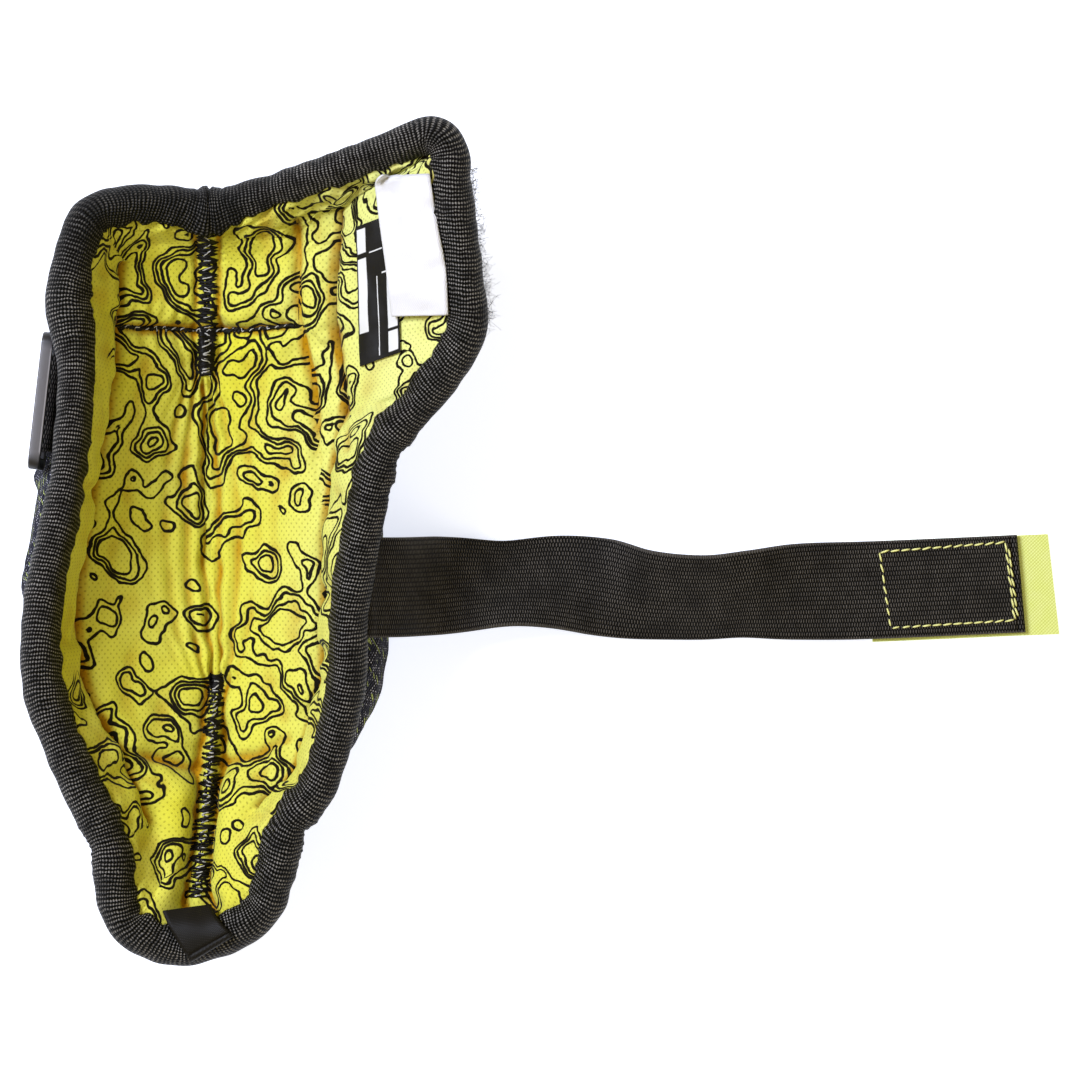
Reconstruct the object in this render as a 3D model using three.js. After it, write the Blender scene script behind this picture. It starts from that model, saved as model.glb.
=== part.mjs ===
import * as THREE from 'three';

// Hockey elbow pad, lying on its outer side with the hollow for the arm facing up.
// Millimetres. +X runs across the arm towards the free strap end, +Y towards the upper arm, +Z up.
// The origin is the middle of the flat face that the pad rests on.

// Thicknesses and clearances
const GAP = 0.3;            // between pieces that are sewn or laid on each other
const GRIP_GAP = 0.4;       // between the wall and the lips of the binding
const LINING = 1.8;         // foam-backed mesh lining
const RIM_THICKNESS = 5.6;  // lining and shell together, where the binding grips them
const TAPE = 1.5;           // binding tape
const LIP = 3.5;            // reach of the binding down each side of the wall
const RIM_TOP = 1.4;        // how far the wall reaches up into the binding roll
const GRIP = LIP + 1.2;     // depth at which the wall leaves the binding
const HALF_RIM = RIM_THICKNESS / 2;
const ROLL = HALF_RIM + GAP + TAPE;

// Floor of the hollow and the flattened underside
const FLOOR_CURVE = 1.5;    // 1 is a plain V across the hollow, 2 a round trough
const REST_SPREAD = 0.3;    // length of the flat underside as a share of the floor line
const REST_RADIUS = 17;     // half width of the flat underside

// Strap, hook tape, ring and small trim
const STRAP = { width: 25.4, thickness: 1.5 };
const HOOK = { width: 26, thickness: 1.2, start: 173.5, end: 220.5, skew: 3 };
const RING = { length: 35, height: 16, bar: 3, corner: 3, bevel: 0.5, lean: 0 };
const RING_AXIS = { x: -39.2, y: 32.7, z: 21.5, turn: -6.5 };
const KEEPER = { width: 25, thickness: 0.8, radius: 2.4 };
const TAB = { width: 12.5, thickness: 0.7, slot: 0.6 };
const LABEL = { thickness: 0.5, slot: 0.8 };
const PATCH = { thickness: 0.5, lift: 0.5 };
const PILE = { thickness: 1.6 };

// The rim, clockwise from the upper left corner. x, y, z: middle of the binding roll.
// foldX, foldY, foldZ: the lining's fold line, where the wall turns into the floor of the hollow.
// floorY: where the section reaches the floor line. bulge, belly: how far the shell swells past the
// roll, and at what height. fullness: 1 is a straight underside, 2 a round one. pucker: depth of a
// gather in the binding.
const RIM_COLUMNS = [
  'x', 'y', 'z', 'foldX', 'foldY', 'foldZ', 'floorY', 'bulge', 'belly', 'fullness', 'pucker',
];
const RIM = [
  [-27.4, 77.3, 42, -18.5, 69.0, 29, 63, 1, 30, 1.3, 0],
  [-19.0, 82.0, 38, -14.0, 73.0, 29, 65, 0, 28, 1.2, 0],
  [-8.0, 82.5, 33, -5.5, 74.0, 28, 65.5, -1, 25, 1.1, 0],
  [3.5, 81.0, 30, 3.0, 72.5, 25.5, 66, -1, 23, 1.1, 0.9],
  [15.0, 84.5, 34, 12.5, 75.0, 28, 65.5, -2, 25, 1.1, 0],
  [36.0, 91.0, 43.5, 31.0, 80.5, 33, 65, -5, 32.5, 1.1, 0],
  [51.0, 96.2, 49.5, 37.0, 82.0, 34, 64.5, -6, 38.5, 1.05, 0],
  [60.1, 98.7, 52.2, 36.6, 80.5, 33, 63.5, -4, 43, 1.05, 0],
  [64.7, 94.4, 53, 36.3, 77.0, 31.5, 62.5, -3, 44, 1.05, 0],
  [65.8, 83.5, 53, 35.4, 71.0, 30, 61, -3, 44, 1.05, 0],
  [68.6, 62.0, 52, 34.8, 58.0, 29, 57, -3, 43, 1.05, 0],
  [68.6, 48.4, 50, 35.5, 46.5, 28, 48, -3, 41, 1.1, 0],
  [58.4, 33.0, 46, 37.5, 33.5, 28, 34, 0, 34, 1.3, 0],
  [48.2, 20.8, 43, 34.8, 20.5, 28, 20, 3, 27, 1.6, 0.5],
  [43.3, 2.5, 42, 32.2, 2.5, 27, 3, 4, 23, 2, 0],
  [39.5, -20.0, 42, 31.6, -20.0, 27, -20, 8.5, 22, 2, 0],
  [38.5, -40.0, 42, 30.6, -39.0, 27, -39, 7.4, 22, 2, 0],
  [32.0, -63.5, 41, 24.0, -60.0, 28, -59, 2.5, 24, 1.7, 0],
  [24.0, -74.5, 40, 16.0, -70.5, 29, -69, 2, 26, 1.4, 0.9],
  [20.7, -86.5, 38, 12.0, -81.0, 29, -78, 0, 26, 1.2, 0],
  [15.5, -97.7, 35, 8.5, -88.5, 28.5, -84, -1, 25, 1.1, 0],
  [-1.6, -105.8, 31, -1.0, -94.5, 26.5, -86, -1, 23, 1.1, 0],
  [-14.8, -102.1, 34, -9.0, -92.0, 29, -85, -1, 25, 1.1, 0],
  [-20.0, -94.5, 36, -11.5, -88.0, 28.5, -82, 0, 26, 1.2, 0],
  [-22.0, -79.2, 38, -13.0, -74.0, 28, -75, 1, 26, 1.3, 0.9],
  [-29.8, -62.6, 40, -19.0, -57.0, 28, -60, 3, 24, 1.6, 0],
  [-38.1, -40.2, 42, -28.0, -39.0, 28, -40, 5.5, 22, 2, 0],
  [-38.2, -18.0, 42, -30.0, -18.0, 27, -18, 6, 22, 2, 0],
  [-33.2, 6.5, 42, -26.6, 6.2, 27, 6, 8.4, 22, 2, 0],
  [-31.2, 20.5, 42, -24.3, 19.8, 27, 20, 5.6, 22, 1.9, 0],
  [-30.0, 41.5, 42, -21.0, 40.0, 27, 40, 4.8, 22, 1.8, 0],
  [-32.0, 60.0, 42, -19.8, 57.0, 28, 58, 3, 25, 1.5, 0.6],
];
const STEPS = 3;            // stations between two rows of the rim
const STATIONS = RIM.length * STEPS;

// Rim rows where the lining's panels begin and end, and the stations of the cross seam.
const LEFT_PANEL = { from: 24, to: 32 };
const RIGHT_PANEL = { from: 5, to: 18 };
const CROSS_SEAM = { right: 10 * STEPS + 2, left: 30 * STEPS + 2 };

// The floor line of the hollow, from the forearm end to the upper arm.
const FLOOR_COLUMNS = ['y', 'x', 'z'];
const FLOOR = [
  [-86, 0.5, 23],
  [-60, 2.5, 17],
  [-37, 4.0, 13.5],
  [0, 1.5, 11.5],
  [30, 2.0, 13.5],
  [52, 2.0, 18],
  [66, 2.5, 22],
];

// Middle line of the strap from its seam to its end. twist tips one edge up, and lift is the
// clearance of the lower edge above the surface that the pad lies on.
const STRAP_COLUMNS = ['x', 'y', 'lift', 'twist'];
const STRAP_LINE = [
  [44.8, -14.6, 34.4, 0],
  [52.0, -14.6, 27.8, 0],
  [58.5, -14.4, 17.0, -4],
  [67.0, -14.0, 6.0, -18],
  [79.0, -13.8, 0.3, -31],
  [92.0, -13.6, 0.3, -18],
  [103.0, -14.8, 2.0, 0],
  [115.0, -16.8, 0.3, 24],
  [129.0, -17.5, 0.2, 31],
  [141.0, -16.6, 0.3, 27],
  [154.0, -16.0, 1.3, 11],
  [170.0, -15.7, 1.7, 0],
  [190.0, -14.9, 1.7, 0],
  [212.0, -13.9, 1.7, 0],
];

// Ribbon loop at the forearm end: its two side edges from the seam to the fold.
const TAB_COLUMNS = ['leftX', 'leftY', 'leftZ', 'rightX', 'rightY', 'rightZ'];
const TAB_LINE = [
  [-8.2, -96.4, 35.6, 3.8, -95.0, 33.9],
  [-6.4, -100.2, 37.3, 5.4, -97.6, 36.6],
  [-4.0, -104.4, 37.4, 7.2, -99.6, 38.2],
  [-1.4, -108.4, 36.6, 9.2, -101.8, 38.6],
];

// White folded label on the wing: its sewn edge at the binding and its fold, with the lift of each.
const LABEL_COLUMNS = ['y', 'sewnX', 'foldX', 'sewnLift', 'foldLift'];
const LABEL_LINE = [
  [88.6, 58.0, 46.2, 0.7, 1.8],
  [77.0, 59.8, 47.6, 0.6, 2.4],
  [65.0, 62.0, 49.2, 0.6, 2.6],
  [53.5, 62.6, 50.6, 0.6, 2.2],
];

// Printed patch on the wing's lining: left and right edge at its two ends.
const PATCH_ENDS = { low: { y: 43, left: 42, right: 52.5 }, high: { y: 78, left: 41, right: 51.5 } };

const COLOURS = {
  lining: 0xd9cf1e,
  shell: 0x23242c,
  binding: 0x252322,
  strap: 0x211f1e,
  hook: 0xdcf27c,
  pile: 0x1c1b1b,
  plastic: 0x2a2a2c,
  white: 0xf3f2ef,
};

// Curves and tables

const blend = (a, b, t) => a + (b - a) * t;
const radians = THREE.MathUtils.degToRad;
const named = (columns, values) => Object.fromEntries(columns.map((name, i) => [name, values[i]]));
const wrap = (i) => ((i % STATIONS) + STATIONS) % STATIONS;

function catmullRom(a, b, c, d, t) {
  const linear = c - a;
  const square = 2 * a - 5 * b + 4 * c - d;
  const cube = 3 * b - a - 3 * c + d;
  return 0.5 * (2 * b + t * (linear + t * (square + t * cube)));
}

function between(rows, i, t, pick) {
  const row = (k) => rows[pick(i + k)];
  return rows[0].map((_, column) =>
    catmullRom(row(-1)[column], row(0)[column], row(1)[column], row(2)[column], t));
}

function alongClosed(rows, columns, steps) {
  const pick = (k) => (k + rows.length) % rows.length;
  return rows.flatMap((_, i) =>
    Array.from({ length: steps }, (_, k) => named(columns, between(rows, i, k / steps, pick))));
}

function alongOpen(rows, columns, steps) {
  const pick = (k) => THREE.MathUtils.clamp(k, 0, rows.length - 1);
  const count = (rows.length - 1) * steps;
  return Array.from({ length: count + 1 }, (_, k) => {
    const i = Math.min(Math.floor(k / steps), rows.length - 2);
    return named(columns, between(rows, i, k / steps - i, pick));
  });
}

function floorAt(y) {
  const last = FLOOR.length - 2;
  let i = FLOOR.findIndex((row, k) => k <= last && y <= FLOOR[k + 1][0]);
  if (i < 0) i = last;
  const t = THREE.MathUtils.clamp((y - FLOOR[i][0]) / (FLOOR[i + 1][0] - FLOOR[i][0]), 0, 1);
  const pick = (k) => THREE.MathUtils.clamp(k, 0, FLOOR.length - 1);
  const row = named(FLOOR_COLUMNS, between(FLOOR, i, t, pick));
  return new THREE.Vector3(row.x, y, row.z);
}

// Closed solids from grids of points

function solid(points, triangles) {
  const geometry = new THREE.BufferGeometry();
  geometry.setAttribute('position', new THREE.Float32BufferAttribute(points.flatMap((p) => p.toArray()), 3));
  geometry.setIndex(triangles.flat());
  geometry.computeVertexNormals();
  return geometry;
}

// Two triangles per cell of a grid, cut along the same diagonal on every layer of the pad.
const cell = (a, b, c, d) => [[a, b, c], [a, c, d]];
const flipped = (triangles) => triangles.map(([a, b, c]) => [a, c, b]);

// A sheet with a top and a bottom skin, and a wall along every edge that only one triangle uses.
function thickSheet(top, bottom, triangles) {
  const count = top.length;
  const seen = new Map();
  for (const [a, b, c] of triangles) {
    for (const [p, q] of [[a, b], [b, c], [c, a]]) {
      seen.set(`${p}_${q}`, [p, q]);
    }
  }
  const edges = [...seen.values()].filter(([p, q]) => !seen.has(`${q}_${p}`));
  const under = flipped(triangles).map((triangle) => triangle.map((i) => i + count));
  const walls = edges.flatMap(([p, q]) => [[q, p, p + count], [q, p + count, q + count]]);
  return compact([...top, ...bottom], [...triangles, ...under, ...walls]);
}

// Keeps only the points that a triangle uses.
function compact(points, triangles) {
  const index = new Map();
  const kept = [];
  const place = (i) => {
    if (!index.has(i)) {
      index.set(i, kept.length);
      kept.push(points[i]);
    }
    return index.get(i);
  };
  const renamed = triangles.map((triangle) => triangle.map(place));
  return solid(kept, renamed);
}

function gridSheet(top, bottom) {
  const columns = top[0].length;
  const triangles = [];
  for (let row = 0; row + 1 < top.length; row += 1) {
    for (let k = 0; k + 1 < columns; k += 1) {
      const corner = row * columns + k;
      triangles.push(...cell(corner, corner + 1, corner + columns + 1, corner + columns));
    }
  }
  return thickSheet(top.flat(), bottom.flat(), triangles);
}

// Triangles over a ring of points seen in plan, facing up.
function capOf(ring) {
  const outline = ring.map((p) => new THREE.Vector2(p.x, p.y));
  const facesUp = (triangle) => !THREE.ShapeUtils.isClockWise(triangle.map((k) => outline[k]));
  return THREE.ShapeUtils.triangulateShape(outline, [])
    .flatMap((triangle) => (facesUp(triangle) ? [triangle] : flipped([triangle])));
}

// Stations around the rim

function stationsOfRim() {
  const rows = alongClosed(RIM, RIM_COLUMNS, STEPS);
  const up = new THREE.Vector3(0, 0, 1);
  const rolls = rows.map((row) => new THREE.Vector3(row.x, row.y, row.z));
  return rows.map((row, i) => {
    const roll = rolls[i];
    const tangent = rolls[wrap(i + 1)].clone().sub(rolls[wrap(i - 1)]).normalize();
    const inward = new THREE.Vector3().crossVectors(tangent, up).normalize();
    const fold = new THREE.Vector3(row.foldX, row.foldY, row.foldZ);
    const toFold = fold.clone().sub(roll);
    const down = toFold.addScaledVector(tangent, -toFold.dot(tangent)).normalize();
    const normal = new THREE.Vector3().crossVectors(down, tangent).normalize();
    return { ...row, roll, inward, down, normal, fold, floor: floorAt(row.floorY) };
  });
}

const stations = stationsOfRim();

// A point in the wall at a station: across from the roll's middle to the inside, and down.
const wallPoint = (s, across, depth) =>
  s.roll.clone().addScaledVector(s.normal, across).addScaledVector(s.down, depth);

// Inner face of the lining: rows from the rim to the fold line, then to the floor line.
const FLOOR_SHARES = [0.78, 0.55, 0.32, 0.08];
const EDGE_ROW = 0;
const FOLD_ROW = 3;
const LAST_ROW = FOLD_ROW + FLOOR_SHARES.length;

function liningColumn(s) {
  const edge = wallPoint(s, HALF_RIM, -RIM_TOP);
  const grip = wallPoint(s, HALF_RIM, GRIP);
  const middle = grip.clone().lerp(s.fold, 0.5);
  const floorPoints = FLOOR_SHARES.map((share) => {
    const point = s.floor.clone().lerp(s.fold, share);
    point.z = blend(s.floor.z, s.fold.z, share ** FLOOR_CURVE);
    return point;
  });
  return [edge, grip, middle, s.fold, ...floorPoints];
}

const lining = stations.map(liningColumn);

// The narrow strip along the floor line, closed by triangles between its two sides, from the first
// and the last station inwards. The shorter of the two next diagonals is taken each time.
function floorStrip(from, to) {
  const foot = (i) => lining[wrap(i)][LAST_ROW];
  const triangles = [];
  let [right, left] = [from, to];
  while (left - right > 1) {
    const stepRight = foot(right + 1).distanceTo(foot(left));
    const stepLeft = foot(right).distanceTo(foot(left - 1));
    if (stepRight < stepLeft) {
      triangles.push([right, left, right + 1]);
      right += 1;
    } else {
      triangles.push([right, left, left - 1]);
      left -= 1;
    }
  }
  return triangles;
}

const CUFF_SPAN = [CROSS_SEAM.left, CROSS_SEAM.right + STATIONS];
const CENTER_SPAN = [CROSS_SEAM.right, CROSS_SEAM.left];

// Normals of a grid of stations and rows, pointing into the hollow.
function normalsOf(grid) {
  return grid.map((column, i) => column.map((_, row) => {
    const before = grid[wrap(i - 1)][row];
    const after = grid[wrap(i + 1)][row];
    const upper = column[Math.max(row - 1, 0)];
    const lower = column[Math.min(row + 1, column.length - 1)];
    const along = after.clone().sub(before);
    return lower.clone().sub(upper).cross(along).normalize();
  }));
}

const liningNormals = normalsOf(lining);
stations.forEach((s, i) => {
  liningNormals[i][EDGE_ROW] = s.normal;
  liningNormals[i][EDGE_ROW + 1] = s.normal;
});

const behindLining = (depth) =>
  lining.map((column, i) => column.map((p, row) => p.clone().addScaledVector(liningNormals[i][row], -depth)));

// Outer shell

const UNDERSIDE_STEPS = 4;

function shellColumn(s) {
  const edge = wallPoint(s, -HALF_RIM, -RIM_TOP);
  const grip = wallPoint(s, -HALF_RIM, GRIP);
  const belly = s.roll.clone().addScaledVector(s.inward, -s.bulge);
  belly.z = s.belly;
  const shoulder = new THREE.Vector3(belly.x, belly.y, blend(belly.z, grip.z, 0.75));
  const round = new THREE.QuadraticBezierCurve3(grip, shoulder, belly);
  const middle = floorAt(s.floorY * REST_SPREAD).setZ(0);
  const outward = s.roll.clone().setZ(0).sub(middle).normalize();
  const rest = middle.addScaledVector(outward, REST_RADIUS);
  const underside = Array.from({ length: UNDERSIDE_STEPS }, (_, k) => {
    const angle = ((k + 1) / UNDERSIDE_STEPS) * (Math.PI / 2);
    const power = 2 / s.fullness;
    const point = rest.clone().lerp(belly, Math.max(Math.cos(angle), 0) ** power);
    point.z = k + 1 === UNDERSIDE_STEPS ? 0 : belly.z * (1 - Math.sin(angle) ** power);
    return point;
  });
  return [edge, grip, round.getPoint(0.5), belly, ...underside];
}

const shellOutside = stations.map(shellColumn);

// Rings of points, one per row, from the floor of the hollow over the rim to the underside.
function outerShell() {
  const inside = behindLining(LINING + GAP).map((column) => [...column].reverse());
  const columns = inside.map((column, i) => [...column, ...shellOutside[i]]);
  const rows = columns[0].length;
  const points = columns.flat();
  const at = (i, row) => wrap(i) * rows + row;
  const triangles = [];
  for (let i = 0; i < STATIONS; i += 1) {
    for (let row = 0; row + 1 < rows; row += 1) {
      const corners = [at(i, row), at(i + 1, row), at(i + 1, row + 1), at(i, row + 1)];
      const [a, b, c, d] = corners;
      const underLining = row < LAST_ROW;
      triangles.push(...(underLining ? cell(b, c, d, a) : cell(a, b, c, d)));
    }
  }
  const strip = [...floorStrip(...CUFF_SPAN), ...floorStrip(...CENTER_SPAN)];
  triangles.push(...strip.map((triangle) => triangle.map((i) => at(i, 0))));
  const rest = capOf(columns.map((column) => column[rows - 1]));
  triangles.push(...flipped(rest).map((triangle) => triangle.map((i) => at(i, rows - 1))));
  return solid(points, triangles);
}

// Lining panels

// Stations from one to another, clockwise, with the wall rows only where withWall says so.
function liningPanel(from, to, withWall, withFloor) {
  const rows = LAST_ROW + 1;
  const at = (i, row) => wrap(i) * rows + row;
  const triangles = [];
  for (let i = from; i < to; i += 1) {
    const first = withWall(wrap(i)) ? EDGE_ROW : FOLD_ROW;
    const last = withFloor ? LAST_ROW : FOLD_ROW;
    for (let row = first; row < last; row += 1) {
      triangles.push(...flipped(cell(at(i, row), at(i + 1, row), at(i + 1, row + 1), at(i, row + 1))));
    }
  }
  if (withFloor) {
    triangles.push(...floorStrip(from, to).map((triangle) => triangle.map((i) => at(i, LAST_ROW))));
  }
  const shift = seamShift(triangles, rows);
  const layer = (depth) => behindLining(depth).flat().map((p, k) => (shift.has(k) ? p.add(shift.get(k)) : p));
  return thickSheet(layer(0), layer(LINING), triangles);
}

// Panels draw back from the seams between them: each seam point moves towards its own panel.
function seamShift(triangles, rows) {
  const points = lining.flat();
  const seen = new Set();
  const neighbours = new Map();
  for (const [a, b, c] of triangles) {
    for (const [p, q] of [[a, b], [b, c], [c, a]]) {
      seen.add(`${p}_${q}`);
      neighbours.set(p, [...(neighbours.get(p) ?? []), q]);
      neighbours.set(q, [...(neighbours.get(q) ?? []), p]);
    }
  }
  const atRim = (k) => k % rows === EDGE_ROW;
  const border = new Set();
  for (const key of seen) {
    const [p, q] = key.split('_').map(Number);
    if (!seen.has(`${q}_${p}`) && !(atRim(p) && atRim(q))) {
      border.add(p);
      border.add(q);
    }
  }
  const shift = new Map();
  for (const k of border) {
    const inner = neighbours.get(k).filter((n) => !border.has(n));
    const goal = inner.length ? inner : neighbours.get(k);
    const middle = new THREE.Vector3();
    goal.forEach((n) => middle.addScaledVector(points[n], 1 / goal.length));
    shift.set(k, middle.sub(points[k]).setLength(GAP));
  }
  return shift;
}

const inRows = ({ from, to }) => (i) => i >= from * STEPS && i < to * STEPS;
const always = () => true;
const topEdge = inRows({ from: 0, to: RIGHT_PANEL.from });
const tongue = inRows({ from: RIGHT_PANEL.to, to: LEFT_PANEL.from });

// Edge binding: a padded tape roll with a lip on each side of the wall.

function edgeBinding() {
  const channel = HALF_RIM + GRIP_GAP;
  const turns = [0, 30, 60, 90, 120, 150, 180].map(radians);
  const section = (s) => {
    const roll = ROLL - s.pucker;
    const top = turns.map((turn) => wallPoint(s, roll * Math.cos(turn), -roll * Math.sin(turn)));
    return [
      wallPoint(s, channel, LIP),
      wallPoint(s, ROLL, LIP - TAPE / 3),
      ...top,
      wallPoint(s, -ROLL, LIP - TAPE / 3),
      wallPoint(s, -channel, LIP),
      wallPoint(s, -channel, -RIM_TOP - GAP),
      wallPoint(s, channel, -RIM_TOP - GAP),
    ];
  };
  const rings = stations.map(section);
  const count = rings[0].length;
  const at = (i, k) => wrap(i) * count + (k % count);
  const triangles = [];
  for (let i = 0; i < STATIONS; i += 1) {
    for (let k = 0; k < count; k += 1) {
      triangles.push(...cell(at(i, k), at(i + 1, k), at(i + 1, k + 1), at(i, k + 1)));
    }
  }
  return solid(rings.flat(), triangles);
}

// Pile patch on the outside of the wing

const PILE_SPAN = { from: 7.7, to: 12.4 };  // rim rows
const PILE_ROWS = [1, 2, 3, 4, 5];          // rows of the shell's outside

function loopPatch() {
  const from = Math.round(PILE_SPAN.from * STEPS);
  const to = Math.round(PILE_SPAN.to * STEPS);
  const normals = normalsOf(shellOutside);
  const layer = (lift) => Array.from({ length: to - from + 1 }, (_, k) =>
    PILE_ROWS.map((row) => shellOutside[from + k][row].clone().addScaledVector(normals[from + k][row], -lift)));
  return gridSheet(layer(GAP), layer(GAP + PILE.thickness));
}

// Strap and hook tape

// A flat band along a line of points: grids of its top and bottom face.
function band(line, width, thickness) {
  const rise = (row) => row.lift + thickness / 2 + (width / 2) * Math.abs(Math.sin(radians(row.twist)));
  const points = line.map((row) => new THREE.Vector3(row.x, row.y, rise(row)));
  const faces = [thickness / 2, -thickness / 2].map((lift) => points.map((p, i) => {
    const before = points[Math.max(i - 1, 0)];
    const after = points[Math.min(i + 1, points.length - 1)];
    const tangent = after.clone().sub(before).normalize();
    const level = new THREE.Vector3(0, 1, 0).addScaledVector(tangent, -tangent.y).normalize();
    const side = level.applyAxisAngle(tangent, radians(line[i].twist));
    const normal = tangent.clone().cross(side);
    return [-width / 2, 0, width / 2].map((across) =>
      p.clone().addScaledVector(side, across).addScaledVector(normal, lift));
  }));
  return faces;
}

function strapBand() {
  const line = alongOpen(STRAP_LINE, STRAP_COLUMNS, 2);
  const [top, bottom] = band(line, STRAP.width, STRAP.thickness);
  return gridSheet(top.map((row) => [...row].reverse()), bottom.map((row) => [...row].reverse()));
}

function hookTab() {
  const rows = alongOpen(STRAP_LINE, STRAP_COLUMNS, 2);
  const lineY = (x) => {
    const i = rows.findIndex((row) => row.x >= x);
    const [a, b] = i > 0 ? [rows[i - 1], rows[i]] : [rows.at(-2), rows.at(-1)];
    return blend(a.y, b.y, (x - a.x) / (b.x - a.x));
  };
  const height = [HOOK.thickness, 0].map((z) => z + GAP / 2);
  const ends = [HOOK.start, HOOK.end];
  const [top, bottom] = height.map((z) => ends.map((x) => [1, -1].map((side) => {
    const skewed = x - side * HOOK.skew * 0.5 * (x === HOOK.end ? 1 : 0);
    return new THREE.Vector3(skewed, lineY(x) + (side * HOOK.width) / 2, z);
  })));
  return gridSheet(top, bottom);
}

// Plastic ring and the webbing fold that holds it

function roundedRectangle(path, width, height, corner) {
  const [x, y] = [width / 2, height / 2];
  path.moveTo(-x + corner, -y);
  path.lineTo(x - corner, -y);
  path.absarc(x - corner, -y + corner, corner, -Math.PI / 2, 0);
  path.lineTo(x, y - corner);
  path.absarc(x - corner, y - corner, corner, 0, Math.PI / 2);
  path.lineTo(-x + corner, y);
  path.absarc(-x + corner, y - corner, corner, Math.PI / 2, Math.PI);
  path.lineTo(-x, -y + corner);
  path.absarc(-x + corner, -y + corner, corner, Math.PI, 1.5 * Math.PI);
  return path;
}

// Standing on its lower bar, whose middle is at the origin; long side along Y.
function ringFrame() {
  const { length, height, bar, corner, bevel } = RING;
  const shrink = 2 * bevel;
  const outline = roundedRectangle(new THREE.Shape(), length - shrink, height - shrink, corner - bevel);
  const slot = roundedRectangle(new THREE.Path(), length - 2 * bar + shrink, height - 2 * bar + shrink, corner / 2);
  outline.holes.push(slot);
  const geometry = new THREE.ExtrudeGeometry(outline, {
    depth: bar - shrink,
    bevelThickness: bevel,
    bevelSize: bevel,
    bevelSegments: 1,
    curveSegments: 3,
  });
  geometry.translate(0, (height - bar) / 2, bevel - bar / 2);
  geometry.rotateX(Math.PI / 2);
  geometry.rotateZ(Math.PI / 2);
  return geometry;
}

// Section of the fold across the bar: up behind it, over it, and back down onto the first leaf.
function keeperFold() {
  const { radius, thickness, width } = KEEPER;
  const leaf = thickness + GAP;
  const over = [0, 30, 60, 90, 120, 150, 180].map(radians);
  const middleLine = [
    [radius + 4.4, -12.5],
    [radius + 1.6, -8.0],
    [radius + 0.1, -4.0],
    ...over.map((turn) => [radius * Math.cos(turn), radius * Math.sin(turn)]),
    [-radius + 0.5, -2.2],
    [-radius + 2.2, -4.8],
    [radius - leaf - 0.7, -7.0],
    [radius - leaf + 1.6, -9.6],
    [radius - leaf + 3.4, -12.5],
  ].map(([x, z]) => new THREE.Vector2(x, z));
  const face = (lift) => middleLine.map((p, i) => {
    const before = middleLine[Math.max(i - 1, 0)];
    const after = middleLine[Math.min(i + 1, middleLine.length - 1)];
    const along = after.clone().sub(before).normalize();
    return p.clone().add(new THREE.Vector2(along.y, -along.x).multiplyScalar(lift));
  });
  const grid = (lift) => face(lift).map((p) =>
    [-width / 2, width / 2].map((y) => new THREE.Vector3(p.x, y, p.y)));
  return gridSheet(grid(thickness / 2), grid(-thickness / 2));
}

// Ribbon loop and folded label: a strip that runs out to a fold and comes back above itself.

// lines: the strip's underside, one row of points per side edge, from the seam to the fold.
function foldedStrip(lines, thickness, slot) {
  const loop = 2 * thickness + slot;
  const up = new THREE.Vector3(0, 0, 1);
  const chain = (line, lower, nose, upper) => {
    const tip = line.at(-1);
    const outward = tip.clone().sub(line.at(-2)).normalize();
    return [
      ...line.map((p) => p.clone().addScaledVector(up, lower)),
      tip.clone().addScaledVector(up, loop / 2).addScaledVector(outward, nose),
      ...[...line].reverse().map((p) => p.clone().addScaledVector(up, upper)),
    ];
  };
  const outside = lines.map((line) => chain(line, 0, loop / 2, loop));
  const inside = lines.map((line) => chain(line, thickness, loop / 2 - thickness, loop - thickness));
  return gridSheet(inside, outside);
}

function pullTab() {
  const rows = TAB_LINE.map((values) => named(TAB_COLUMNS, values));
  const left = rows.map((row) => new THREE.Vector3(row.leftX, row.leftY, row.leftZ));
  const right = rows.map((row) => new THREE.Vector3(row.rightX, row.rightY, row.rightZ));
  const middle = left.map((p, i) => p.clone().lerp(right[i], 0.5));
  return foldedStrip([left, middle, right], TAB.thickness, TAB.slot);
}

// Height of the lining's inner face above a point of the plan.
function liningHeight(x, y) {
  const point = new THREE.Vector3(x, y, 0);
  const corner = new THREE.Vector3();
  for (let i = 0; i < STATIONS; i += 1) {
    for (let row = EDGE_ROW + 1; row < LAST_ROW; row += 1) {
      const [a, b] = [lining[i][row], lining[wrap(i + 1)][row]];
      const [c, d] = [lining[wrap(i + 1)][row + 1], lining[i][row + 1]];
      for (const [p, q, r] of [[a, b, c], [a, c, d]]) {
        const flat = [p, q, r].map((v) => v.clone().setZ(0));
        const inside = THREE.Triangle.getBarycoord(point, ...flat, corner);
        if (inside && Math.min(corner.x, corner.y, corner.z) >= 0) {
          return p.z * corner.x + q.z * corner.y + r.z * corner.z;
        }
      }
    }
  }
  throw new Error(`no lining under ${x}, ${y}`);
}

function careLabel() {
  const shares = [0, 0.35, 0.7, 1];
  const lines = LABEL_LINE.map((values) => {
    const row = named(LABEL_COLUMNS, values);
    return shares.map((share) => {
      const x = blend(row.sewnX, row.foldX, share);
      return new THREE.Vector3(x, row.y, liningHeight(x, row.y) + blend(row.sewnLift, row.foldLift, share));
    });
  });
  return foldedStrip(lines, LABEL.thickness, LABEL.slot);
}

function idPatch() {
  const { low, high } = PATCH_ENDS;
  const grid = (lift) => [0, 0.2, 0.4, 0.6, 0.8, 1].map((along) => [0, 0.5, 1].map((across) => {
    const x = blend(blend(low.left, low.right, across), blend(high.left, high.right, across), along);
    const y = blend(low.y, high.y, along);
    return new THREE.Vector3(x, y, liningHeight(x, y) + lift);
  }));
  return gridSheet(grid(PATCH.lift + PATCH.thickness), grid(PATCH.lift));
}

// The assembly

const pad = new THREE.Group();

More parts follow.
